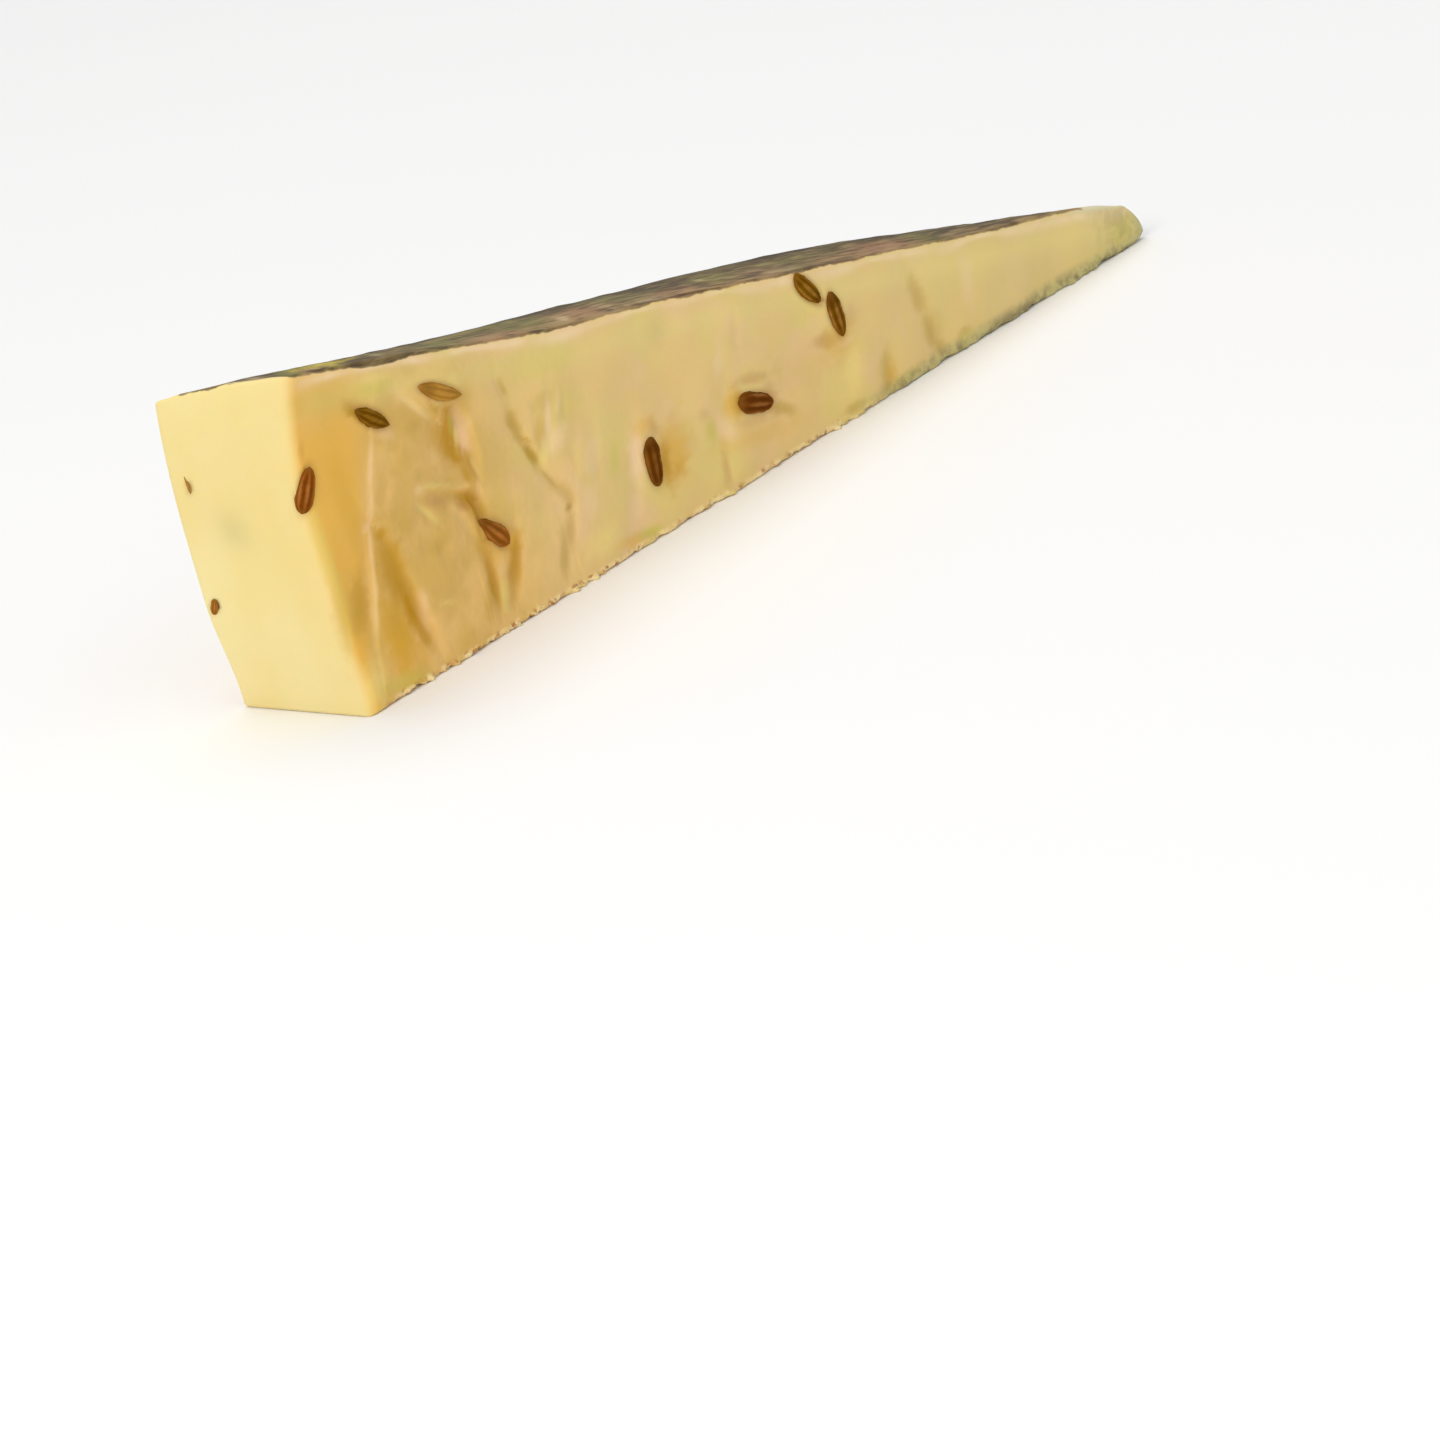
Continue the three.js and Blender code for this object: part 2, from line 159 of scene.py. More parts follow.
FRONT_GROOVES = [
    # the hollow along the knife cut, up to the small step at the edge of the torn part
    groove([(10.4, 28.3, 0.25), (8.9, 24.5, 0.35), (7.9, 21.3, 0.4), (7.1, 19.6, 0.45), (6.4, 17, 0.55),
            (5.4, 13, 0.65), (4.4, 9.6, 0.6), (3.6, 7.2, 0.4), (3.2, 4, 0.15)], 3.2, 0.5, gold_shade=0.2,
           lit=0.75),
    # the scoop beyond the step, and the deeper streak in its lower right part
    groove([(8.7, 18.2, 0.5), (10, 14.5, 0.7), (10.9, 11, 0.75), (11.5, 8, 0.7), (12.3, 5, 0.5),
            (13.2, 2.2, 0.2)], 4, 0.6, gold_shade=0.9),
    groove([(10.7, 11.2, 0.2), (11.4, 9.4, 0.6), (12, 7.2, 0.7), (12.8, 4.8, 0.5), (13.6, 3.2, 0.15)], 1.3,
           0.6, gold_shade=0.8),
    # the thin step and the fissure below it, with a painted highlight on the steep side on the right
    groove([(15.3, 32, 0.2), (18.3, 28.7, 0.35), (21.2, 26.2, 0.5)], 1.4, 0.5, lit=0.7),
    groove([(22.2, 27.4, 0.4), (24.2, 26.4, 1.4), (25.2, 24, 2.1), (25.2, 22.4, 1.9), (25.6, 20.5, 1.1),
            (25.6, 18, 0.6)], 3.3, 0.6, gold_shade=0.9, lit=0.3),
    groove([(14, 30, 0.2), (20, 24, 0.6), (22, 18, 0.6), (22, 10, 0.35)], 6, 2.4),
    # the ledge left of the fissure's foot, the hollow under it and short marks beside it
    groove([(15.5, 20.6, -0.15), (19.5, 19.2, -0.3), (24, 17.6, -0.3)], 0.6, 0.5, gold_shade=0.5),
    groove([(18.3, 18, 0.25), (21.6, 17, 0.5), (24.4, 16.2, 0.9), (25.2, 15.2, 1.1), (25.3, 13.9, 0.9)],
           0.9, 0.7, gold_shade=0.7),
    groove([(15, 19.5, 0.1), (16.2, 17.3, 0.35), (17.8, 15.6, 0.15)], 0.9, 0.5),
    groove([(19.7, 16.6, 0.15), (21.7, 15, 0.35), (22.9, 13, 0.2)], 1.2, 0.5),
    groove([(12.2, 25, 0.1), (13.6, 23.2, 0.3), (16.5, 22, 0.1)], 0.9, 0.7),
    groove([(14.8, 14.8, 0.1), (16.8, 13.6, 0.3), (17.4, 12, 0.1)], 1, 0.8),
    # two grooves below the half-buried seed and the ridge between them
    groove([(24.6, 10.6, 0.6), (24.8, 8, 0.9), (24.6, 5.5, 0.85), (24.3, 3, 0.3)], 1.3, 0.6, gold_shade=0.9),
    groove([(29.8, 10.6, 0.3), (29.2, 8.1, 0.7), (28.4, 5.4, 0.9), (27.3, 2.9, 0.5)], 1.6, 0.6, gold_shade=1),
    # the long thin crack
    groove([(32, 26.9, 0.15), (32.5, 25.6, 0.35), (32.8, 24.6, 0.1)], 0.6, 0.5, gold_shade=0.8),
    groove([(32.8, 23, 0.1), (33.4, 21.2, 0.45), (34.2, 19.5, 0.5), (35.2, 17.6, 0.8), (35.6, 16, 0.55),
            (37, 13.7, 0.35), (38.6, 11.3, 0.3), (39.2, 9.5, 0.5)], 0.9, 0.5, gold_shade=0.8),
    groove([(39, 8, 0.1), (37.6, 5.4, 0.35), (36.4, 2.4, 0.2)], 1, 0.6, gold_shade=0.6),
    groove([(33, 26, 0.1), (34.4, 18, 0.35), (37.5, 12, 0.35), (38, 5, 0.2)], 4.5, 1.4),
    # short flutes right of the crack
    groove([(36.9, 21.8, 0.2), (36.3, 18, 0.35)], 0.8, 0.5, gold_shade=0.3),
    groove([(39.6, 22.6, 0.15), (38.5, 19.5, 0.3), (38.2, 17.6, 0.2)], 1.3, 0.6, lit=0.7),
    groove([(41.7, 21.8, 0.2), (41, 19.6, 0.2)], 0.8, 0.5),
    groove([(45.6, 15, 0.15), (44.8, 12.2, 0.35), (44.2, 9.5, 0.1)], 1.8, 0.6),
    groove([(42.2, 17.4, 0.1), (41, 15, 0.3), (40.6, 13, 0.1)], 1.4, 0.8),
    # broad flutes of the far half
    groove([(52.6, 14.4, 0.2), (52.2, 11, 0.6), (51.2, 7.5, 0.6), (49.6, 3, 0.3)], 3.4, 0.8),
    groove([(50.2, 1.6, 0.4), (52, 0.6, 0.4)], 0.8, 0.8),
    groove([(60.5, 24, 0.1), (58.5, 17, 0.3), (58, 9, 0.1)], 4, 3),
    groove([(69.6, 18, 0.1), (69.2, 13.5, 0.4), (68.2, 9.2, 0.5), (66.6, 6, 0.3)], 3.2, 0.9),
    groove([(73.2, 20, 0.15), (72.6, 16.5, 0.3)], 0.9, 0.6),
    groove([(66.5, 5, 0.1), (66.2, 2, 0.4)], 1.2, 0.8),
    groove([(93, 9.5, 0.1), (93, 6.5, 0.4), (91.8, 3, 0.2)], 4.2, 1.2),
    groove([(100.9, 7.6, 0.1), (100.2, 4, 0.5), (99.6, 1, 0.6)], 2, 1, gold_shade=0.5),
    groove([(107, 12, 0.1), (108.3, 9.3, 0.3), (109.1, 5.7, 0.35), (110.2, 3.2, 0.4), (111.3, 1.2, 0.4)],
           1.8, 1.6, gold_shade=0.4),
    groove([(120, 12, 0.05), (118, 6, 0.25), (118, 1, 0.2)], 3, 1.6),
    groove([(133, 7, 0.05), (131, 3.5, 0.2), (131, 1, 0.2)], 2.2, 1.8),
]
BACK_GROOVES = [
    groove([(12, 20, 0.2), (13.5, 12, 0.6), (12.5, 6, 0.4)], 0.5, 2.8, gold_shade=0.5),
    groove([(19, 27, 0.2), (17, 22, 0.5), (18.5, 17, 0.3)], 0.5, 1.8, gold_shade=0.5, lit=0.5),
    groove([(26, 30, 0.3), (24, 21, 1.7), (26, 14, 2), (25, 7, 1.2), (25.5, 3, 0.4)], 0.7, 3.2, gold_shade=0.9,
           lit=0.7),
    groove([(27, 14, 0.8), (31, 11.5, 1.2), (35, 8, 1), (38, 2.5, 0.4)], 0.6, 1.6, gold_shade=0.9),
    groove([(40, 25, 0.2), (41.5, 20, 0.9), (40.5, 16, 0.5), (42, 12, 0.3)], 0.5, 2.2, gold_shade=0.7),
    groove([(52, 20, 0.2), (55, 11, 1.1), (54, 3, 0.5)], 0.8, 3.8, gold_shade=0.6),
    groove([(63, 19, 0.2), (61, 13, 0.5), (62, 9, 0.2)], 0.5, 2, gold_shade=0.5, lit=0.5),
    groove([(74, 17, 0.2), (72, 11, 0.6), (71, 5, 0.5)], 0.8, 3.2, gold_shade=0.3),
    groove([(93, 13, 0.2), (95, 3, 0.6)], 0.9, 3, gold_shade=0.3),
    groove([(112, 11, 0.1), (110, 4, 0.5)], 0.8, 2.6, gold_shade=0.3),
]


# What is usual for a seed. Blunt runs from pointed to rounded ends, heavy from widest in the middle to
# widest at the start, tone from dark to light, red from olive to reddish brown. Ribbed says how pale its
# ribs are, dark_start how dark its first end is, or its last one where it is negative, and pale how far
# paste covers it. A cut seed lies flat in a cut face.
USUAL_SEED = dict(size=1, wide=1.1, blunt=0.2, heavy=0, bent=0.2, tone=0.4, red=0.5, ribbed=0.35,
                  dark_start=0, pale=0, sunk=0, cut=False)


def seed(face, x, y, z, turn, **own):
    """A seed: its face and middle, the turn of its axis from level, and its own values."""
    return dict(USUAL_SEED, face=face, at=(x, y, z), turn=turn, **own)


SEEDS = [
    seed("corner", -1.15, 0.1, 26.8, 68, size=0.9, wide=1.15, blunt=0.75, bent=0, tone=0.45, red=0.8,
         ribbed=0.4, sunk=0.1),
    seed("front", 11.35, 0, 30.3, -37, size=0.97, wide=1.22, blunt=0.05, heavy=-0.2, bent=0.1, red=0,
         ribbed=0.15),
    seed("front", 22.1, 0, 29.3, -27, size=1.28, wide=1.15, blunt=0.15, tone=0.8, red=0.2, ribbed=0.3,
         dark_start=0.8, pale=0.35),
    seed("front", 26.2, 0, 11.3, -50, size=0.92, wide=1.65, blunt=0.3, heavy=-1.1, bent=0, tone=0.5,
         red=0.85, ribbed=0.4, dark_start=0.6, pale=0.1),
    seed("front", 54.4, 0, 8.6, -88, size=1.05, wide=1.65, blunt=0.9, bent=0.1, tone=0.13, ribbed=0.15,
         dark_start=0.5),
    seed("front", 74, 0, 8.5, -19, size=1.22, wide=1.6, blunt=0.85, heavy=0.2, bent=0, tone=0.12, red=0.75,
         ribbed=0.38),
    seed("front", 87.4, 0, 17.7, -50, size=1.1, wide=1.3, blunt=0.35, bent=0.1, tone=0.5, red=0,
         dark_start=-0.6),
    seed("front", 91.3, 0, 13.1, -79, size=1.03, wide=1.5, blunt=0.75, bent=0.1, red=0.1, ribbed=0.5,
         dark_start=0.6),
    seed("back", 9, 0, 25, 35, tone=0.3, red=0.6),
    seed("back", 18, 0, 12, -70, size=0.9, tone=0.6, red=0.3, pale=0.4),
    seed("back", 36, 0, 22, 15, size=1.05, blunt=0.6, tone=0.2, red=0.8),
    seed("back", 47, 0, 7, 80, size=0.95, tone=0.5, red=0.2),
    seed("back", 64, 0, 15, -30, blunt=0.8, tone=0.35),
    seed("back", 84, 0, 9, 50, size=1.05, tone=0.25, red=0.7),
    seed("back", 106, 0, 7, -12, size=0.9, tone=0.7, red=0.3, pale=0.5),
    seed("end", 0, 16.4, 27.4, 98, size=0.4, wide=0.22, tone=0.5, red=0.1, pale=0.4, cut=True),
    seed("end", 0, 17.6, 12.8, 66, size=0.36, wide=0.6, blunt=0.8, red=0.8, pale=0.2, cut=True),
    seed("base", 14, 6, 0, 20, size=0.7, wide=1, tone=0.3, red=0.6, cut=True),
    seed("base", 31, 13.5, 0, 75, size=0.5, wide=0.9, blunt=0.7, red=0.4, cut=True),
    seed("base", 45, 7, 0, -35, size=0.9, wide=0.8, tone=0.3, red=0.7, cut=True),
    seed("base", 66, 11.5, 0, 8, size=0.6, wide=1, blunt=0.7, tone=0.5, red=0.3, cut=True),
    seed("base", 79, 5, 0, -62, size=0.45, wide=0.8, tone=0.3, red=0.6, cut=True),
    seed("base", 97, 12, 0, 40, size=0.75, wide=0.9, cut=True),
    seed("base", 121, 5.5, 0, -12, size=0.5, wide=1, blunt=0.7, tone=0.3, red=0.7, cut=True),
]

# Seeds just under the surface, which show as grey smudges: middle and size in millimetres
GHOSTS = [(59.8, 0.2, 22.6, 1.7), (-1.8, 11.3, 22.1, 2.3), (33, 18.5, 12, 1.5), (75, 18.5, 8, 1.5)]

# Patches of colour on the front face: middle (x, z), reach along and across, turn from level, strength.
# Light patches are painted highlights on plates and steep sides facing the lamp, partly pale paste; gold,
# olive and amber ones are painted shade in hollows, cracks, flutes and beside seeds, partly the paste's
# own deeper tones and stains; brown ones are stains round seeds with painted shade beside them; yellow
# and green ones are tones of the paste, green also painted shade on the rounded upright corner.
PATCHES = {
    # painted highlights, partly pale paste
    "light": [
        (9.2, 26, 2.8, 0.45, 66, 0.4), (7.5, 21.4, 1.8, 0.45, 62, 0.3), (6.1, 17.4, 1.6, 0.4, 73, 0.2),
        (4.3, 11, 4.4, 0.35, 73, 0.1), (6, 19.7, 1, 0.4, 20, 0.3), (12.4, 28.4, 1.8, 0.9, -40, 0.35),
        (23.9, 24.4, 2.3, 1.2, 95, 0.85), (17.3, 29.7, 3, 0.5, -47, 0.3), (15.4, 20.4, 0.8, 0.5, 0, 0.3),
        (12.2, 8, 2.2, 1, 80, 0.35), (25.6, 7.6, 1.2, 0.7, 70, 0.25), (38.6, 17.4, 2.2, 1.4, 15, 0.5),
        (38.3, 20, 2.4, 0.5, 74, 0.6), (40.5, 21.2, 1.4, 0.4, 65, 0.3), (44.2, 13.4, 2.4, 1.4, 60, 0.35),
        (51.3, 10.3, 3, 1.4, 82, 0.8), (42, 8.6, 2, 1.4, 70, 0.35), (49.5, 5, 2.4, 1.1, 60, 0.35),
        (67.8, 7.6, 2.4, 1.1, -50, 0.4), (69, 15.6, 1.8, 0.9, 70, 0.4), (117.8, 8.2, 3.2, 1.4, 85, 0.35),
        (92.4, 9.3, 1.8, 0.6, 0, 0.3),
    ],
    "yellow": [
        (22.9, 23.8, 1.5, 0.4, 80, 0.7), (25, 4.2, 2, 0.7, 80, 0.6), (36.4, 16.4, 2.2, 0.9, 40, 0.4),
        (18, 29, 2.6, 0.4, -47, 0.35), (15.9, 17.6, 2.2, 0.4, -52, 0.5), (18.3, 19.9, 2.4, 0.35, -18, 0.4),
        (1.9, 3, 2.8, 1.7, 80, 0.6), (-0.5, 19, 7, 0.8, 95, 0.35), (24.9, 19.6, 1.6, 0.35, -70, 0.4),
        (92.6, 5.8, 2.8, 1.5, 70, 0.45), (15.9, 7.1, 1.4, 0.4, -20, 0.35), (12.8, 34.2, 2.6, 0.7, -12, 0.4),
        (42.6, 3.6, 3.2, 1.8, 0, 0.4), (24.4, 29.3, 1.2, 1, 0, 0.4),
    ],
    "green": [
        (151.4, 2.6, 3.2, 2, 20, 0.5), (65.1, 8.4, 1.5, 1, 80, 0.6), (51, 1.4, 2.2, 0.7, -8, 0.7),
        (47.6, 11.6, 2.2, 0.9, 75, 0.4), (115.5, 1.6, 1.6, 0.8, 0, 0.5), (25, 4, 1.6, 0.6, 80, 0.2),
        (6.5, 1.6, 4, 1, -8, 0.5), (102.5, 1, 2.2, 0.6, 0, 0.6), (22.5, 25.5, 1.2, 0.4, 75, 0.7),
        (5, 34.6, 7, 1.4, -13, 0.2), (12, 33.4, 3.5, 0.9, -12, 0.4), (38, 27, 9, 2, -12, 0.25),
        (-0.7, 19.5, 6.5, 1, 97, 0.25), (-0.1, 12, 4, 1.1, 84, 0.2), (24.6, 25, 1.8, 1, 95, 0.15),
    ],
    # painted shade, partly the paste's own orange
    "amber": [
        (7.2, 6.8, 5.5, 2.6, -82, 0.9), (57.6, 8.2, 2.4, 3.4, 12, 0.6), (47.8, 1.6, 2.6, 0.7, -8, 0.5),
        (28, 9.4, 1.8, 1.4, -30, 0.7), (23.3, 12, 1.2, 2, 0, 0.4), (70, 9.9, 1.7, 1.8, 0, 0.7),
        (4.2, 23, 7, 1.6, 95, 0.5), (91.4, 9.8, 3.2, 2.4, -10, 0.45), (99.6, 2.4, 2.2, 1.4, 80, 0.4),
        (74, 4.6, 8, 1.2, -8, 0.3), (53.5, 13.2, 2, 1, 0, 0.4), (10, 3.6, 2.2, 1.3, 80, 0.5),
        (6, 15, 3.2, 0.8, 75, 0.35), (26, 8.2, 1.4, 1, 0, 0.4),
    ],
    # painted shade in hollows, cracks and beside seeds, partly stain
    "gold_shade": [
        (20.9, 24.5, 2.6, 1.7, 105, 0.75), (22.1, 22, 1.3, 0.6, -60, 0.9),
        (23.3, 19.4, 1.5, 0.6, -65, 0.75), (22.4, 16.9, 1.7, 0.5, -28, 0.9),
        (22.8, 15.1, 1.7, 0.9, -60, 0.6), (20.7, 27.8, 1.4, 0.4, -62, 0.6), (9.7, 8.6, 2.8, 0.9, -78, 0.9),
        (11, 5.2, 2, 0.6, -64, 0.8), (8.6, 13.9, 5.2, 2.1, -84, 0.95), (8.1, 18.2, 1.3, 0.9, 5, 0.95),
        (7.4, 7.6, 5, 2, -82, 0.4), (23.6, 6, 3.4, 1, 86, 0.65), (27.9, 6.6, 3, 0.9, 72, 0.7),
        (22.3, 4.2, 1.8, 0.8, 80, 0.4), (22.1, 22, 0.9, 0.6, -60, 1), (1, 15, 5, 1.4, 88, 0.12),
        (33.9, 19.3, 1.2, 0.25, -35, 0.6), (56, 7.8, 3, 1.1, 92, 0.85), (24.5, 26.8, 1.2, 0.4, -20, 0.2),
        (24.2, 14.8, 1.2, 0.8, -60, 0.5), (58, 6.4, 1.4, 1, 20, 0.5), (22.3, 21.9, 0.9, 0.6, 70, 1),
        (70.8, 9.4, 1, 1.6, 0, 0.7), (2.6, 12, 3.4, 1.3, 80, 0.6), (8.3, 32.1, 1.1, 0.55, -40, 1),
        (6.9, 14.2, 3.4, 0.8, 78, 0.5),
    ],
    # painted shade in hollows, cracks and flutes, partly olive tone
    "olive": [
        (1.8, 12, 2.8, 1.4, 78, 0.5), (-0.8, 12.2, 4.4, 1.1, 86, 0.3), (9.8, 22.5, 2.6, 1.1, 70, 0.35),
        (20.4, 18, 1.6, 0.4, -18, 0.4), (13, 20, 4.6, 2.4, 75, 0.4), (14, 23.8, 2.6, 1.6, 0, 0.4),
        (84, 9.5, 6, 3, 0, 0.15), (15.6, 22, 2.2, 1.2, 0, 0.35), (36.4, 19, 2.4, 0.9, 75, 0.5),
        (38.2, 22.2, 2.2, 1.2, 0, 0.3), (41.2, 19.6, 3.2, 4.6, 0, 0.15), (38.3, 11.4, 2.4, 0.9, -50, 0.45),
        (37.9, 6.8, 2, 1, 75, 0.45), (59.4, 9.6, 2.4, 3.2, 0, 0.3), (109.8, 5.2, 2.4, 1.6, -75, 0.25),
        (32.1, 26.1, 1.1, 0.45, -70, 0.6), (32.5, 21.8, 2.2, 0.9, -72, 0.7),
        (34.5, 17.1, 1.5, 0.6, -58, 0.9), (36.4, 13.4, 2.8, 0.25, -54, 0.6), (38.2, 9.3, 0.6, 0.4, 0, 0.7),
        (36, 5, 3, 0.8, 75, 0.45), (78.6, 6, 2.6, 0.8, -26, 0.7), (91.6, 1.3, 2, 0.7, 0, 0.5),
        (98.9, 2.6, 2.6, 1.2, 80, 0.5), (107.6, 9.6, 2.8, 1.2, -75, 0.5), (108.7, 5, 2.4, 1.1, -80, 0.6),
        (109.9, 2.4, 1.6, 0.8, -60, 0.5), (13.2, 23.4, 1.8, 0.8, -15, 0.4),
        (16.7, 13.6, 1.5, 0.9, 10, 0.35), (16.9, 27.2, 1.4, 0.8, 0, 0.3),
    ],
    # stains round seeds, with painted shade beside them
    "brown": [
        (17.8, 18.4, 2.2, 0.8, -18, 0.4), (22, 16.1, 1.4, 0.7, -25, 0.6), (27, 10.2, 2.4, 1.6, -40, 0.5),
        (66.3, 3.6, 2.6, 0.6, 85, 0.4), (76.6, 8, 1.2, 2.6, 0, 0.35), (91.2, 9.9, 1.4, 1, -60, 0.3),
        (55.2, 12.6, 1.2, 0.8, -60, 0.4), (64.4, 10.6, 1, 0.7, 0, 0.2), (74.2, 11.4, 3.4, 0.7, -12, 0.4),
        (73, 6.6, 3.4, 0.6, -14, 0.25), (88.8, 10.7, 2.6, 1, -15, 0.5), (94.2, 12, 1.6, 1.2, 0, 0.2),
        (115.2, 2.2, 1.2, 0.6, 0, 0.4), (89.6, 15.5, 0.9, 0.2, -40, 0.9), (88.4, 15.4, 1.6, 0.25, -30, 0.3),
        (38.4, 9.5, 0.5, 0.3, 0, 0.5), (-0.6, 31, 1.2, 0.5, 80, 0.3), (8.4, 32.6, 1.8, 0.8, -30, 0.5),
        (24.7, 19.4, 1.6, 0.7, -75, 0.4),
    ],
}

# Patches of colour on the rind: x as seen over the front edge, share of the way to the back edge, reach
# along and across, strength. Dark patches near the back edge (share 0.75 to 0.9) add to the painted shade
# there.
RIND_PATCHES = {
    "rosy": [
        (3.9, 0.1, 1.3, 0.14, 0.9), (33.5, 0.1, 4, 0.22, 0.8), (49.5, 0.35, 4.5, 0.3, 0.9),
        (66, 0.25, 4, 0.2, 0.7), (74.5, 0.05, 3, 0.12, 0.5), (81, 0.3, 3.5, 0.3, 0.4),
        (93, 0.2, 4, 0.3, 0.3), (104.5, 0.3, 6, 0.35, 1),
    ],
    "mossy": [
        (1, 0.3, 1.6, 0.35, 0.9), (15, 0.4, 3, 0.2, 0.5), (25, 0.25, 4.5, 0.35, 0.8),
        (39.5, 0.5, 4.5, 0.35, 0.9), (57.5, 0.5, 4, 0.3, 0.7), (74.3, 0.4, 3, 0.3, 0.8),
        (88, 0.3, 4, 0.3, 0.3), (112.8, 0.3, 4, 0.4, 0.8), (140, 0.5, 4.5, 0.8, 0.7),
    ],
    "dark": [
        (-11, 0.6, 5, 0.6, 0.7), (-5, 0.4, 1.4, 0.5, 0.9), (-1.6, 0.3, 1.2, 0.5, 0.9),
        (10.2, 0.1, 1.6, 0.2, 0.9), (4.1, 0.04, 0.8, 0.07, 0.8), (13, 0.5, 1.4, 0.4, 0.7),
        (7, 0.05, 0.9, 0.06, 0.9), (1.6, 0.04, 0.6, 0.06, 0.8), (24, 0.85, 5, 0.2, 0.8),
        (18.5, 0.2, 2.4, 0.12, 0.5), (35.4, 0.04, 0.7, 0.1, 0.9), (46, 0.88, 8, 0.18, 0.9),
        (62, 0.75, 5, 0.25, 0.9), (55.5, 0.75, 3, 0.15, 0.6), (70.6, 0.3, 1.3, 0.12, 1),
        (67, 0.6, 3, 0.2, 0.7), (78.5, 0.2, 3, 0.1, 0.7), (80.5, 0.6, 3.4, 0.12, 0.7),
        (88, 0.88, 5, 0.2, 1), (89, 0.3, 8, 0.5, 0.3), (97, 0.85, 6, 0.25, 0.8), (107, 0.8, 6, 0.3, 0.9),
        (118, 0.6, 6, 0.5, 0.9), (126, 0.5, 6, 0.6, 0.9), (135, 0.5, 5, 0.6, 0.9),
    ],
    "bright": [
        (-3.4, 0.35, 0.5, 0.5, 0.8), (14.9, 0.5, 0.6, 0.4, 0.5), (45.8, 0.25, 0.7, 0.12, 0.9),
        (53.6, 0.3, 1.2, 0.2, 0.5), (60, 0.1, 2.5, 0.08, 0.5), (71.9, 0.5, 0.6, 0.08, 0.8),
        (84, 0.15, 3, 0.06, 0.5),
    ],
    "chip": [(7, 0.36, 3, 0.26, 1), (2.4, 0.3, 1.2, 0.2, 0.6), (10.6, 0.42, 2, 0.2, 0.7)],
}
# For each millimetre of depth, a point of the rind is seen so many millimetres further to the left
RIND_SEEN_SHIFT = 0.8

# Paint of the paste, in millimetres: the pale rim under the rind, a painted highlight, and the yellow zone
# below it; the line where the band of the knife cut ends, as heights and distances from the thick end, and
# how soft it is low and high up; where other colours and the painted shade along the base edge start or end
RIM_GAP = 0.3
RIM_WIDTH = 0.55
UNDER_RIND = 3.2
UNDER_REACH = 1.7
RIDGE_HEIGHTS = (4, 11, 18.5, 28.3)
RIDGE_PLACES = (3.2, 4.7, 6.8, 10.4)
BAND_SOFTNESS = (2.4, 7)
TORN_COLOUR_END = 40.0
FAR_COLOUR_START = 80.0
OLD_RIND_END = 38.0
EDGE_SHADE_START = 90.0
DRY_NOSE = 152.2
FROST_START = 139.0

# Strength of the stains around the seeds and of the smudges over hidden ones
STAIN = 0.4
CUT_STAIN = 0.3
GHOST = 0.27

# Where a hollow is a millimetre deep, its patches lie this far to the right and down
PATCH_SHIFT_X = 1.14
PATCH_SHIFT_Z = 0.55

# The camera, as fitted to the photograph: it stands 600 mm from the near corner, and at that distance a
# millimetre is 9.3 of the photograph's 1440 pixels.
CAMERA_AZIMUTH = radians(-48.73)
CAMERA_ELEVATION = radians(20.02)
CAMERA_ROLL = radians(12.42)
CAMERA_DISTANCE = 600.0
CAMERA_AIM = (37.62, 0.07)
PIXELS_PER_MM = 9.3
PHOTO_PIXELS = 1440
SENSOR = 36.0

# Half the floor's side, in millimetres
FLOOR_REACH = 4000.0

NOISE_TABLE = np.random.default_rng(11).random((97, 89))


def mix(a, b, share):
    return a + (b - a) * share


def smooth(share):
    t = np.clip(share, 0.0, 1.0)
    return t * t * (3.0 - 2.0 * t)


def bump(offset, reach):
    return np.exp(-(offset / reach) ** 2)


def wave(distance, length, phase):
    return np.sin(2 * pi * distance / length + phase)


def noise(u, v):
    """Smooth noise from -1 to 1 that repeats far outside the wedge."""
    u, v = np.broadcast_arrays(np.asarray(u, float), np.asarray(v, float))
    cell_u, cell_v = np.floor(u).astype(int), np.floor(v).astype(int)
    part_u, part_v = smooth(u - cell_u), smooth(v - cell_v)
    wide, high = NOISE_TABLE.shape

    def corner(du, dv):
        return NOISE_TABLE[(cell_u + du) % wide, (cell_v + dv) % high]

    low = mix(corner(0, 0), corner(1, 0), part_u)
    top = mix(corner(0, 1), corner(1, 1), part_u)
    return mix(low, top, part_v) * 2.0 - 1.0


# The shape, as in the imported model's source


def straight_edge(x):
    return mix(HEIGHT, TIP_HEIGHT, x / LENGTH)


def front_edge(x):
    sag = SAG * bump(x - SAG_PLACE, SAG_REACH)
    return straight_edge(x) - sag + SWELL * bump(x - SWELL_PLACE, SWELL_REACH)


def back_edge(x):
    along = smooth((x - BACK_DROP_START) / (BACK_DROP_END - BACK_DROP_START))
    return straight_edge(x) - mix(BACK_DROP_THICK_END, BACK_DROP_TIP, along)


def top_surface(x, share):
    return mix(front_edge(x), back_edge(x), share ** CROSS_CURVE)


def thickness_at(x):
    reach = (x - TAPER_START) / (LENGTH - TAPER_START)
    closing = (reach + np.hypot(reach, TAPER_SOFTNESS)) / 2
    return mix(THICKNESS, TIP_THICKNESS, np.minimum(1, closing))


def end_bow(z, deep_share):
    """How far the thick end stands out beyond its plane."""
    share = np.clip(z / HEIGHT, 0, 1)
    arch = np.sin(pi * share ** BOW_CURVE)
    front = FRONT_BOW * arch - TUCK * bump(z - TUCK_HEIGHT, TUCK_HEIGHT)
    back = mix(-BACK_FOOT, BACK_OVERHANG, smooth(share / BACK_FOOT_SHARE)) + BACK_BOW * arch
    return mix(front, back, deep_share)


